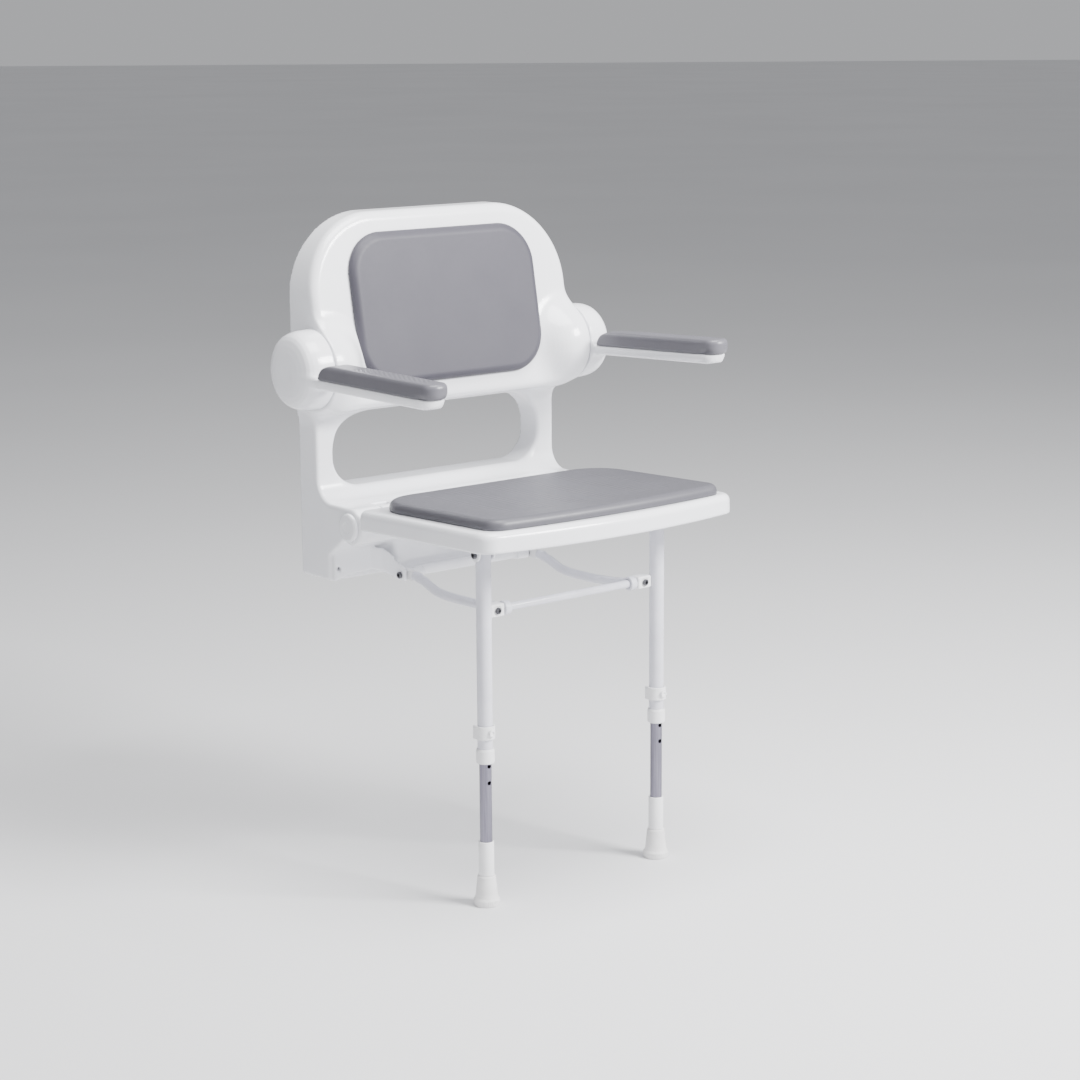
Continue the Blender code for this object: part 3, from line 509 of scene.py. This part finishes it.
def tray_field(x, y, z, inset, edge):
    """The leaning tray of the back, with a rounded front edge."""
    low = (-SHELL_HALF + inset, SHELL_LOW + inset)
    high = (SHELL_HALF - inset, SHELL_TOP - inset)
    outline = rectangle(x, z, low, high, (SHELL_LOW_CORNER - inset, SHELL_CORNER - inset))
    front = (LEAN_Y + LEAN * (z - LEAN_Z) + inset - y) / math.hypot(1.0, LEAN)
    return both(outline, front, edge)


def collar_field(x, y, z, inset):
    """The round boss on the shell's side that carries an arm, on both sides at once."""
    radius = np.hypot(y - BOSS_Y, z - BOSS_Z)
    wide, face = BOSS_RADIUS - inset, BOSS_FACE + 0.0200 - 6.0 * inset
    profile = [(-0.01, 0.1740 + inset)]
    for i in range(13):
        turn = math.pi / 2 * i / 12
        profile.append((wide * math.sin(turn) ** 0.85, 0.2260 + inset - 0.0520 * math.cos(turn)))
    profile += [(wide, face), (-0.01, face)]
    return polygon(profile, radius, np.abs(x))


BRACKET_PLAN = [(0.2205, -0.0760), (0.1900, -0.0780), (0.1600, -0.0815), (0.1430, -0.0885)]
BRACKET_PLAN += [(0.1335, -0.0975), (0.1299, -0.1080), (0.1298, -0.1265)]


def bracket_field(x, y, z):
    """The wall from the side panel to the cheek of each link's pivot."""
    across = np.abs(x)
    nearest = None
    for a, b in zip(BRACKET_PLAN, BRACKET_PLAN[1:]):
        eu, ev = b[0] - a[0], b[1] - a[1]
        wu, wv = across - a[0], y - a[1]
        t = np.clip((wu * eu + wv * ev) / (eu * eu + ev * ev), 0.0, 1.0)
        gap = np.hypot(wu - eu * t, wv - ev * t)
        nearest = gap if nearest is None else np.minimum(nearest, gap)
    stations = (0.1298, 0.1335, 0.1430, 0.1600, 0.1900, 0.2205)
    low = np.interp(across, stations, (0.4345, 0.4390, 0.4450, 0.4490, 0.4470, 0.4400)) - HINGE_HEIGHT
    high = np.interp(across, stations, (0.4620, 0.4720, 0.4810, 0.4840, 0.4830, 0.4800)) - HINGE_HEIGHT
    high = high + np.minimum(y + 0.108, 0.0) * 0.45
    return both(nearest - 0.0026, np.maximum(low - z, z - high), 0.0022)


def shell_field(x, y, z):
    """The whole back shell: outside, inside, then the slots and holes."""
    across = np.abs(x)
    opening = rectangle(
        x, z, (-OPENING_HALF, OPENING_LOW), (OPENING_HALF, SHELL_LOW + 0.0005), OPENING_RADII
    )
    posts = both(polygon(frame_profile(0.0), y, z), across - POST_HALF, 0.0055)
    posts = without(posts, opening, 0.0060)
    solid = either(tray_field(x, y, z, 0.0, SHELL_EDGE), posts, 0.040)
    solid = either(solid, collar_field(x, y, z, 0.0), 0.030)
    on_boss = np.clip((BOSS_RADIUS + 0.0010 - np.hypot(y - BOSS_Y, z - BOSS_Z)) / 0.0020, 0.0, 1.0)
    solid = np.maximum(solid, across - SHELL_HALF - (BOSS_FACE - SHELL_HALF) * on_boss)
    solid = both(solid, across - BOSS_FACE, 0.0024)
    wall = block(x, y, z, (-0.127, -0.098, height(0.4410)), (0.127, -0.050, -0.008), 0.007)
    solid = either(solid, wall, 0.010)
    lip = block(x, y, z, (-0.105, -0.1175, height(0.4365)), (0.105, -0.085, height(0.4515)), 0.0045)
    solid = either(solid, lip, 0.008)
    solid = either(solid, bracket_field(x, y, z), 0.006)
    boss = cylinder(y, z, across, WALL_PIVOT, 0.0075, 0.0900, LINK_X - 0.0080, 0.0015)
    solid = either(solid, boss, 0.004)
    hollow = both(polygon(frame_profile(SKIN), y, z), across - POST_HALF + SKIN, 0.003)
    kept = rectangle(
        x, z, (-OPENING_HALF - SKIN, OPENING_LOW - SKIN), (OPENING_HALF + SKIN, SHELL_LOW + SKIN),
        [radius + SKIN for radius in OPENING_RADII],
    )
    hollow = without(hollow, kept)
    hollow = either(hollow, tray_field(x, y, z, SKIN, SHELL_EDGE))
    hollow = either(hollow, collar_field(x, y, z, SKIN))
    inner = block(x, y, z, (-0.1225, -0.0935, height(0.4410) + SKIN), (0.1225, -0.045, -0.010), 0.003)
    hollow = either(hollow, inner, 0.003)
    solid = without(solid, hollow, 0.001)
    slots = block(
        across, y, z, (EAR_LOW - EAR_GAP, -0.170, -0.015), (EAR_HIGH + EAR_GAP, HINGE_Y + 0.0175, 0.0350),
        0.002,
    )
    link_slots = block(across, y, z, (0.1100, -0.170, -0.036), (0.1290, -0.1335, 0.0235), 0.002)
    solid = without(solid, either(slots, link_slots), 0.0016)
    rod = cylinder(y, z, x, (HINGE_Y, 0.0), 0.0053, -0.24, 0.24)
    bolts = cylinder(y, z, across, WALL_PIVOT, 0.0036, 0.0940, 0.1500)
    pins = cylinder(y, z, across, (BOSS_Y, BOSS_Z), 0.0083, 0.2300, 0.2500)
    marks = cylinder(across, z, y, (0.2150, height(0.4575)), 0.0030, -0.0900, -0.0600)
    slits = block(
        across, y, z, (0.1900, -0.1050, height(0.4935)), (0.1990, -0.0600, height(0.4965)), 0.0014
    )
    solid = without(solid, either(either(rod, bolts), either(pins, either(marks, slits))))
    return np.maximum(solid, y)


back_shell = net(
    "shell_back", shell_field, (-0.242, -0.1540, height(0.4345)), (0.242, 0.0, SHELL_TOP), 0.0026
)
dress(back_shell, SHELL, "wall_frame", "shell_white", "back_shell")


BACK_PAD_HALF, BACK_PAD_LOW, BACK_PAD_HIGH = 0.1736, height(0.7245), height(0.949)
BACK_PAD_CORNER, BACK_PAD_RISE, BACK_PAD_BEVEL = 0.062, 0.0118, 1.1


def back_pad_field(x, y, z):
    """A leaning slab with a bevelled ridge round its face."""
    outline = rectangle(
        x, z, (-BACK_PAD_HALF, BACK_PAD_LOW), (BACK_PAD_HALF, BACK_PAD_HIGH), (BACK_PAD_CORNER,) * 2
    )
    out = (LEAN_Y + LEAN * (z - LEAN_Z) - y) / math.hypot(1.0, LEAN)
    bevel = (outline + out * BACK_PAD_BEVEL - 0.0052) / math.hypot(1.0, BACK_PAD_BEVEL)
    body = both(outline, out - BACK_PAD_RISE, 0.0030)
    body = both(body, bevel, 0.0030)
    foot = 0.0007 * np.exp(-((out - 0.0010) / 0.0009) ** 2)
    return np.maximum(body + foot, -out)


back_pad = net(
    "cushion_back", back_pad_field, (-0.174, -0.100, height(0.722)), (0.174, -0.040, height(0.951)),
    0.0017,
)
dress(back_pad, BACK_FOAM_PAINTED_SHADE, "wall_frame", "pad_grey", "back_pad")


# ---------------------------------------------------------------- arms

ARM_LOW, ARM_HIGH, ARM_TIP = 0.2421, 0.2831, -0.3970
ARM_MIDDLE, ARM_HALF = (ARM_LOW + ARM_HIGH) / 2, (ARM_HIGH - ARM_LOW) / 2
ARM_BOTTOM, ARM_TOP, ARM_PAD_TOP = height(0.7375), height(0.7530), height(0.7760)
HUB_START = BOSS_FACE + 0.0006
ARM_RIB_SLANT, ARM_RIB_PITCH, ARM_RIB_DEPTH = 1.6, 0.0115, 0.00120


def arm_field(across, y, z):
    """One arm without its pad: a domed hub and a bar with a rounded, rising tip."""
    radius = np.hypot(y - BOSS_Y, z - BOSS_Z)
    profile = [(-0.01, HUB_START), (BOSS_RADIUS, HUB_START), (0.0583, 0.2560), (0.0578, 0.2640)]
    profile += [(0.0566, 0.2710), (0.0545, 0.2770), (0.0510, 0.2822), (0.0460, 0.2857)]
    profile += [(0.0380, 0.2882), (0.0280, 0.2896), (0.0160, 0.2901), (0.0060, 0.2898), (-0.01, 0.2896)]
    hub = both(polygon(profile, radius, across), HUB_START - across, 0.0024)
    rise = np.clip((-0.372 - y) / 0.024, 0.0, 1.0) ** 2 * 0.0080
    below = np.clip((z - ARM_BOTTOM - rise) / 0.012, 0.0, 1.0)
    inset = 0.0050 * (1.0 - below) ** 1.6
    plan = rectangle(
        across, -y, (ARM_MIDDLE - ARM_HALF, 0.08), (ARM_MIDDLE + ARM_HALF, -ARM_TIP - 0.0070),
        (0.0, ARM_HALF - 0.0015),
    )
    bar = both(plan + inset, slab(z, ARM_BOTTOM, ARM_TOP), 0.0030)
    bar = both(bar, ARM_BOTTOM + rise - z, 0.0040)
    return both(either(hub, bar, 0.012), HUB_START - across, 0.0024)


def arm_pad_field(across, y, z):
    """A long pad with rounded ends, and slanting ribs along the middle of its top."""
    plan = rectangle(
        across, -y, (ARM_MIDDLE - ARM_HALF, 0.02), (ARM_MIDDLE + ARM_HALF, -ARM_TIP), (0.0, ARM_HALF - 0.001)
    )
    low = z - ARM_TOP
    tuck = 0.0040 * np.clip(1.0 - low / 0.0100, 0.0, 1.0) ** 2 * np.clip((-0.360 - y) / 0.020, 0.0, 1.0)
    body = both(plan + tuck, z - ARM_PAD_TOP, 0.0085)
    body = both(body, 0.0003 - low, 0.0016)
    heel = np.hypot(np.maximum(y + 0.1650, 0.0) / 0.0340, np.maximum(low, 0.0) / 0.0232) - 1.0
    body = both(body, heel * 0.0240, 0.0025)
    slant = (y + ARM_RIB_SLANT * (across - ARM_MIDDLE)) * 2 * math.pi / ARM_RIB_PITCH
    on_top = np.clip((z - ARM_PAD_TOP + 0.0040) / 0.0030, 0.0, 1.0)
    field = np.clip((ARM_HALF - 0.0065 - np.abs(across - ARM_MIDDLE)) / 0.003, 0.0, 1.0)
    ends = np.clip((y - ARM_TIP - 0.024) / 0.010, 0.0, 1.0) * np.clip((-0.205 - y) / 0.010, 0.0, 1.0)
    return body + ARM_RIB_DEPTH * (0.5 + 0.5 * np.cos(slant)) * on_top * field * ends


for label, side in SIDES:
    low, high = sorted((side * 0.2410, side * 0.2910))
    hub = net(
        f"shell_arm_{label}", lambda x, y, z, s=side: arm_field(x * s, y, z),
        (low, ARM_TIP, BOSS_Z - 0.0590), (high, BOSS_Y + 0.0590, BOSS_Z + 0.0590), 0.0018,
    )
    pad = net(
        f"cushion_arm_{label}", lambda x, y, z, s=side: arm_pad_field(x * s, y, z),
        (low, ARM_TIP - 0.001, ARM_TOP), (high, -0.080, ARM_PAD_TOP), 0.0011,
    )
    for piece in (hub, pad):
        turn_up(piece, (BOSS_Y, BOSS_Z), ARM_REST[label])
    dress(hub, SHELL, f"arm_{label}", "shell_white", f"arm_body_{label}", f"hub_cap_{label}")
    dress(pad, ARM_FOAM_PAINTED_LIGHT, f"arm_{label}", "pad_grey", f"arm_pad_{label}")


# ---------------------------------------------------------------- seat


def bowed_outline(half, rear, corner_y, bow, radius, rear_radius):
    """A seat's plan: a straight rear, straight sides and a front that bows forward."""
    front = [(half * k / 12, corner_y - bow * (1 - (k / 12) ** 2)) for k in range(-12, 13)]
    corners = [(half, rear, rear_radius), (-half, rear, rear_radius)]
    corners.append((*front[0], radius))
    corners += [(u, v, 0.0) for u, v in front[3:-3]]
    corners.append((*front[-1], radius))
    return rounded_outline(corners, 12)


SEAT_PLAN = bowed_outline(0.2355, -0.1550, -0.4540, 0.0280, 0.028, 0.014)
PAD_PLAN = bowed_outline(0.2165, -0.1670, -0.4490, 0.0150, 0.028, 0.064)
# Sine and cosine of the angle behind the hinge at which the drum that fills an ear's slot ends.
DRUM_END = (0.788, 0.616)
PAD_RIB_PITCH, PAD_RIB_DEPTH, PAD_RIB_WAVE = 0.0110, 0.00055, 0.062
EAR = [(HINGE_Y - EAR_RADIUS * math.cos(a), EAR_RADIUS * math.sin(a)) for a in
       [math.radians(-85 - 190 * i / 20) for i in range(21)]]
EAR += [(-0.1580, 0.0090), (-0.1600, 0.0290), (-0.2050, 0.0290), (-0.1660, -0.0115)]


def seat_field(x, y, z):
    """The seat's tray: a rounded rim, a hollow underside and two ears with drums round the hinge."""
    across = np.abs(x)
    outline = polygon(SEAT_PLAN, x, y)
    solid = both(outline, z - SEAT_TOP, 0.0105)
    solid = both(solid, SEAT_BOTTOM - z, 0.0035)
    pocket = both(outline + 0.0050, z - SEAT_TOP + 0.0052, 0.0040)
    solid = without(solid, pocket, 0.0008)
    drum = np.hypot(y - HINGE_Y, z) - NOSE_RADIUS + 0.0008
    drum = np.maximum(drum, np.maximum(DRUM_END[0] * (y - HINGE_Y) - DRUM_END[1] * z, -z))
    width = slab(across, EAR_LOW, EAR_HIGH)
    ears = np.minimum(both(polygon(EAR, y, z), width, 0.0012), both(drum, width, 0.0012))
    solid = either(solid, ears, 0.002)
    return without(solid, cylinder(y, z, across, (HINGE_Y, 0.0), 0.0081, 0.140, 0.190))


def pad_field(x, y, z):
    """The seat's pad: a soft bevelled border round a field of fine wavy ribs."""
    outline = polygon(PAD_PLAN, x, y)
    body = both(outline, z - PAD_TOP, 0.0070)
    bevel = (outline + (z - PAD_TOP) * 0.9 + 0.0045) / math.hypot(1.0, 0.9)
    body = both(body, bevel, 0.0040)
    body = both(body, SEAT_TOP + 0.0003 - z, 0.0015)
    field = rectangle(x, y, (-0.160, -0.425), (0.160, -0.195), (0.030, 0.030))
    inner = np.clip(-field / 0.012, 0.0, 1.0) * np.clip((z - PAD_TOP + 0.004) / 0.003, 0.0, 1.0)
    wave = y + 0.0030 * np.sin(x * 2 * math.pi / PAD_RIB_WAVE)
    return body + PAD_RIB_DEPTH * (0.5 + 0.5 * np.cos(wave * 2 * math.pi / PAD_RIB_PITCH)) * inner


seat_shell = net(
    "shell_seat", seat_field, (-0.236, -0.483, -0.013), (0.236, -0.112, SEAT_TOP), 0.0022
)
seat_pad = net(
    "cushion_seat", pad_field, (-0.217, -0.465, SEAT_TOP), (0.217, -0.166, PAD_TOP), 0.0016
)
for piece in (seat_shell, seat_pad):
    turn_up(piece, (HINGE_Y, 0.0), SEAT_SLOPE)
dress(seat_shell, SHELL, "seat", "shell_white", "seat_shell")
dress(seat_pad, SEAT_FOAM, "seat", "pad_grey", "seat_pad")


# ---------------------------------------------------------------- legs

TUBE_RADIUS, TUBE_BORE, TUBE_BOTTOM = 0.0111, 0.0096, height(0.2165)
INNER_RADIUS, INNER_BORE = 0.0090, 0.0076
INNER_BOTTOM, INNER_TOP = height(0.0103), height(0.395)
CLIP_LOW, CLIP_HIGH = height(0.2495), height(0.2690)
SLEEVE_LOW, SLEEVE_HIGH = height(0.0450), height(0.0960)
GAP = 0.0003
HOLE_PITCH = 0.025
FOOT_TEETH = 40


def rod_tool(radius, axis, center, low, high, steps=32):
    return turned("tool", [(0.0, low), (radius, low), (radius, high), (0.0, high)], axis, center, steps)


def soft_turned(name, corners, axis, center, steps=56):
    return turned(name, rounded_outline(corners, 4), axis, center, steps)


def bracket_leg_field(across, y, z):
    """A clevis under the seat that holds the top of a leg."""
    slope = math.tan(SEAT_SLOPE)
    ceiling = SEAT_TOP - 0.0053
    outline = arc((LEG_Y, LEG_PIVOT_Z), 0.0100, math.pi, 2 * math.pi, 20)
    outline += [(-0.300, 0.0080), (-0.292, ceiling + 0.166 * slope), (-0.380, ceiling + 0.254 * slope)]
    inner, outer = LEG_X - TUBE_RADIUS - 0.0038, LEG_X + TUBE_RADIUS + 0.0038
    solid = both(polygon(outline, y, z), slab(across, inner, outer), 0.0008)
    gap = block(
        across, y, z, (LEG_X - TUBE_RADIUS - 0.0005, -0.45, -0.06),
        (LEG_X + TUBE_RADIUS + 0.0005, -0.25, ceiling + 0.166 * slope - 0.003),
    )
    hole = np.hypot(y - LEG_Y, z - LEG_PIVOT_Z) - 0.0036
    return without(without(solid, gap), hole)


def clip_field(across, y, z):
    """A spring clip round the tube, with a round button in front."""
    u, v = across - LEG_X, y - LEG_Y
    ring = np.abs(np.hypot(u, v) - (TUBE_RADIUS + GAP + 0.0146) / 2) - (0.0146 - TUBE_RADIUS - GAP) / 2
    legs = both(slab(np.abs(u), TUBE_RADIUS + GAP, 0.0146), slab(v, 0.0, 0.0100), 0.0010)
    ring = both(ring, v)
    band = either(ring, legs)
    band = both(band, slab(z, CLIP_LOW, CLIP_HIGH), 0.0011)
    radius = np.hypot(u, z - PEG_Z)
    button = both(radius - 0.0053, slab(v, -0.0178, -0.0120), 0.0012)
    dimple = np.sqrt(radius ** 2 + (v + 0.0200) ** 2) - 0.0036
    return without(either(band, button, 0.0012), dimple)


def link_field(across, y, z):
    """A bent bar with its eye round the cross bar."""
    wall_y, wall_z = WALL_PIVOT
    bar_y, bar_z = BAR_PIVOT
    start = wall_y - 0.0190 - GAP
    knots = [(start + 0.004, 0.0), (start - 0.004, 0.0), (start - 0.011, -0.0006)]
    knots += [(wall_y - 0.030, -0.0020), (wall_y - 0.044, -0.0045), (wall_y - 0.058, -0.0098)]
    knots += [(wall_y - 0.072, -0.0143), (wall_y - 0.088, -0.0164), (wall_y - 0.104, -0.0171)]
    knots += [(wall_y - 0.120, -0.0172), (wall_y - 0.160, -0.0166), (wall_y - 0.195, -0.0140)]
    knots.append((bar_y + 0.006, bar_z - wall_z))
    path = [(LINK_X, u, wall_z + v) for u, v in knots]
    bar = np.maximum(rope(path, 0.0070, across, y, z), y - start)
    eye = cylinder(y, z, across, BAR_PIVOT, 0.0105, LINK_X - 0.0056, LINK_X + 0.0056, 0.0016)
    solid = either(bar, eye, 0.004)
    return without(solid, np.hypot(y - bar_y, z - bar_z) - 0.0061)


def lug_field(across, y, z):
    """The flattened end of a link at its wall pivot."""
    wall_y, wall_z = WALL_PIVOT
    outline = arc(WALL_PIVOT, 0.0075, math.pi / 2, -math.pi / 2, 16)
    outline += [(wall_y - 0.0190, wall_z - 0.0068), (wall_y - 0.0190, wall_z + 0.0068)]
    solid = both(polygon(outline, y, z), slab(across, LINK_X - 0.0055, LINK_X + 0.0055), 0.0012)
    return without(solid, np.hypot(y - wall_y, z - wall_z) - 0.0036)


def bar_block_field(across, y, z):
    """The block that joins a leg tube to the cross bar."""
    y0, z0 = BAR_PIVOT
    low, high = (0.1270, y0 - 0.0095, z0 - 0.0095), (0.1531, y0 + 0.0095, z0 + 0.0095)
    solid = block(across, y, z, low, high, 0.0030)
    seat = cylinder(across, z, y, ((0.1270 + 0.1531) / 2, z0), 0.0068, y0 - 0.0200, y0 - 0.0088)
    return without(solid, seat, 0.0006)


for label, side in SIDES:
    x = side * LEG_X
    at = (x, LEG_Y, 0.0)

    def near(low, high, s=side):
        """A box on one side of the centre line, from one given on the right."""
        ends = sorted((low[0] * s, high[0] * s))
        return (ends[0], *low[1:]), (ends[1], *high[1:])

    def sided(field, s=side):
        return lambda px, py, pz: field(px * s, py, pz)

    clevis = net(
        f"leg_clevis_{label}", sided(bracket_leg_field),
        *near((0.148, -0.382, -0.022), (0.181, -0.288, 0.036)), 0.0010,
    )
    dress(clevis, SHELL, "seat", "shell_white", f"leg_bracket_{label}")

    tube = soft_turned(
        f"outer_tube_{label}",
        [(TUBE_BORE, TUBE_BOTTOM, 0.0004), (TUBE_RADIUS, TUBE_BOTTOM, 0.0004),
         (TUBE_RADIUS, height(0.530), 0.0005), (TUBE_BORE, height(0.530), 0.0005)],
        "Z", at,
    )
    low, high = sorted((side * (LEG_X - 0.02), side * (LEG_X + 0.02)))
    pierce(
        tube, rod_tool(0.0032, "Y", (x, LEG_Y, PEG_Z), -0.02, 0.0),
        rod_tool(0.0036, "X", (0.0, LEG_Y, LEG_PIVOT_Z), low, high),
    )
    dress(tube, TUBE_PAINTED_SHADE, "leg_frame", "tube_white", f"leg_tube_{label}")

    bush_low, bush_high = height(0.2135), height(0.2350)
    bush = soft_turned(
        f"tube_collar_{label}",
        [(INNER_RADIUS + GAP, bush_low, 0.0), (0.0128, bush_low, 0.0006), (0.0134, bush_low + 0.002, 0.0010),
         (0.0134, bush_high - 0.003, 0.0012), (0.0122, bush_high, 0.0006),
         (TUBE_RADIUS + GAP, bush_high, 0.0), (TUBE_RADIUS + GAP, TUBE_BOTTOM - GAP, 0.0),
         (INNER_RADIUS + GAP, TUBE_BOTTOM - GAP, 0.0)],
        "Z", at,
    )
    dress(bush, TRIM, "leg_frame", "trim_white", f"tube_bush_{label}")

    holder = net(
        f"bar_holder_{label}", sided(bar_block_field),
        *near(
            (0.127, BAR_PIVOT[0] - 0.010, BAR_PIVOT[1] - 0.010),
            (0.1535, BAR_PIVOT[0] + 0.010, BAR_PIVOT[1] + 0.010),
        ),
        0.0007,
    )
    dress(holder, TRIM, "leg_frame", "trim_white", f"bar_block_{label}")

    rod = soft_turned(
        f"sliding_tube_{label}",
        [(INNER_BORE, INNER_BOTTOM, 0.0), (INNER_RADIUS, INNER_BOTTOM, 0.0004),
         (INNER_RADIUS, INNER_TOP, 0.0004), (INNER_BORE, INNER_TOP, 0.0)],
        "Z", at,
    )
    holes = [(x, LEG_Y, PEG_Z + HOLE_PITCH * k) for k in range(-3, 4)]
    pierce(rod, *(rod_tool(0.0032, "Y", hole, -0.02, 0.0) for hole in holes))
    dress(rod, ALLOY, f"lower_leg_{label}", "alloy", f"inner_tube_{label}")

    sleeve = soft_turned(
        f"foot_sleeve_{label}",
        [(INNER_RADIUS + GAP, SLEEVE_LOW + GAP, 0.0), (0.0113, SLEEVE_LOW + GAP, 0.0004),
         (0.0113, SLEEVE_HIGH, 0.0010), (INNER_RADIUS + GAP, SLEEVE_HIGH, 0.0)],
        "Z", at,
    )
    dress(sleeve, TRIM, f"lower_leg_{label}", "trim_white", f"leg_sleeve_{label}")

    foot = soft_turned(
        f"foot_cup_{label}",
        [(0.0, FLOOR, 0.0), (0.0185, FLOOR, 0.0012), (0.0193, FLOOR + 0.004, 0.0020),
         (0.0193, FLOOR + 0.009, 0.0020), (0.0170, FLOOR + 0.0125, 0.0012),
         (0.0158, FLOOR + 0.018, 0.0040),
         (0.0134, SLEEVE_LOW - 0.002, 0.0010), (0.0124, SLEEVE_LOW, 0.0004),
         (INNER_RADIUS + GAP, SLEEVE_LOW, 0.0), (INNER_RADIUS + GAP, INNER_BOTTOM - GAP, 0.0),
         (0.0, INNER_BOTTOM - GAP, 0.0)],
        "Z", at, 160,
    )
    for vertex in foot.data.vertices:
        u, v = vertex.co.x - x, vertex.co.y - LEG_Y
        out = math.hypot(u, v)
        if out > 0.0180 and vertex.co.z > FLOOR + 0.002:
            tooth = 1.0 - 0.018 * (0.5 + 0.5 * math.copysign(1.0, math.sin(FOOT_TEETH * math.atan2(v, u))))
            vertex.co.x, vertex.co.y = x + u * tooth, LEG_Y + v * tooth
    foot.data.set_sharp_from_angle(angle=math.radians(50))
    dress(foot, RUBBER, f"lower_leg_{label}", "foot_rubber", f"foot_{label}")

    clip = net(
        f"spring_clip_{label}", sided(clip_field),
        *near((LEG_X - 0.0150, LEG_Y - 0.0180, CLIP_LOW), (LEG_X + 0.0150, LEG_Y + 0.0104, CLIP_HIGH)),
        0.0006,
    )
    dress(clip, TRIM, f"clip_{label}", "trim_white", f"height_clip_{label}")

    link = net(
        f"link_rod_{label}", sided(link_field),
        *near(
            (LINK_X - 0.0072, BAR_PIVOT[0] - 0.0110, -0.115),
            (LINK_X + 0.0072, WALL_PIVOT[0] - 0.018, -0.078),
        ),
        0.0011,
    )
    dress(link, TUBE_PAINTED_SHADE, f"link_{label}", "tube_white", f"link_bar_{label}")
    lug = net(
        f"link_end_{label}", sided(lug_field),
        *near(
            (LINK_X - 0.0056, WALL_PIVOT[0] - 0.0190, -0.094),
            (LINK_X + 0.0056, WALL_PIVOT[0] + 0.0075, -0.078),
        ),
        0.0008,
    )
    dress(lug, TRIM, f"link_{label}", "trim_white", f"link_lug_{label}")

bar = soft_turned(
    "cross_tube",
    [(0.0, -0.1267, 0.0), (0.0058, -0.1267, 0.0005), (0.0058, 0.1267, 0.0005), (0.0, 0.1267, 0.0)],
    "X", (0.0, *BAR_PIVOT),
)
dress(bar, TUBE_PAINTED_SHADE, "leg_frame", "tube_white", "cross_bar")

for label, side in SIDES:
    profile = [(0.0, 0.2278, 0.0), (0.0210, 0.2278, 0.0004), (0.0210, 0.2323, 0.0012)]
    profile += [(0.0180, 0.2343, 0.0030), (0.0090, 0.2343, 0.0004), (0.0084, 0.2337, 0.0003)]
    profile.append((0.0, 0.2337, 0.0))
    profile = [(radius, along * side, edge) for radius, along, edge in profile]
    cap = soft_turned(f"hinge_cover_{label}", profile, "X", (0.0, HINGE_Y, 0.0))
    dress(cap, SHELL, "wall_frame", "shell_white", f"hinge_cap_{label}")

METAL_NODES = ("hinge_rod", "lower_wall_", "upper_wall_", "arm_pin_")
BOLT_NODES = ("link_bolt_", "leg_pin_", "block_bolt_")
for name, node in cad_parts.items():
    material = STEEL if name.startswith(METAL_NODES) else TRIM
    if name.startswith(BOLT_NODES):
        material = BOLT
    if not node.hide_render:
        node.data.materials.clear()
        node.data.materials.append(material)


# ---------------------------------------------------------------- stage, light and camera

FLOOR_HALF = 60.0

ground = bpy.data.meshes.new("floor")
corners = [(-1, -1), (1, -1), (1, 1), (-1, 1)]
ground.from_pydata([(FLOOR_HALF * u, FLOOR_HALF * v, FLOOR) for u, v in corners], [], [(0, 1, 2, 3)])
floor = show("floor", ground)
pale = Surface("pale_floor", 0.75, specular=0.2)
pale.color(pale.ramp(pale.noise(0.6, 2.0), ((0.3, (0.70, 0.70, 0.71)), (0.7, (0.73, 0.73, 0.74)))))
ground.materials.append(pale.material)


def area_light(name, place, target, size, power):
    lamp = bpy.data.lights.new(name, "AREA")
    lamp.shape = "RECTANGLE"
    lamp.size, lamp.size_y = size
    lamp.energy = power
    made = bpy.data.objects.new(name, lamp)
    bpy.context.scene.collection.objects.link(made)
    made.location = place
    made.rotation_euler = (Vector(target) - Vector(place)).to_track_quat("-Z", "Y").to_euler()


CENTER = (0.0, -0.22, 0.0)
CAMERA_PLACE, CAMERA_FORWARD = (-2.3365, -3.126, 0.742), (0.622, 0.756, -0.204)
CAMERA_ROLL = math.radians(-0.35)

area_light("key", (1.3, -2.9, 1.9), CENTER, (1.4, 1.0), 330.0)
area_light("side", (-2.6, -1.2, 1.0), CENTER, (1.4, 1.4), 10.0)
area_light("top", (0.0, -0.9, 2.8), CENTER, (2.0, 1.6), 160.0)

world = bpy.data.worlds.new("studio")
bpy.context.scene.world = world
world.use_nodes = True
world.node_tree.nodes["Background"].inputs["Color"].default_value = (0.93, 0.94, 0.97, 1.0)
world.node_tree.nodes["Background"].inputs["Strength"].default_value = 0.50

lens = bpy.data.cameras.new("camera")
lens.sensor_width = 36.0
lens.lens = 85.14
lens.clip_end = 60.0
camera = bpy.data.objects.new("camera", lens)
bpy.context.scene.collection.objects.link(camera)
forward = Vector(CAMERA_FORWARD).normalized()
aim = forward.to_track_quat("-Z", "Y").to_matrix().to_4x4()
camera.matrix_world = Matrix.Translation(CAMERA_PLACE) @ aim @ Matrix.Rotation(CAMERA_ROLL, 4, "Z")
bpy.context.scene.camera = camera
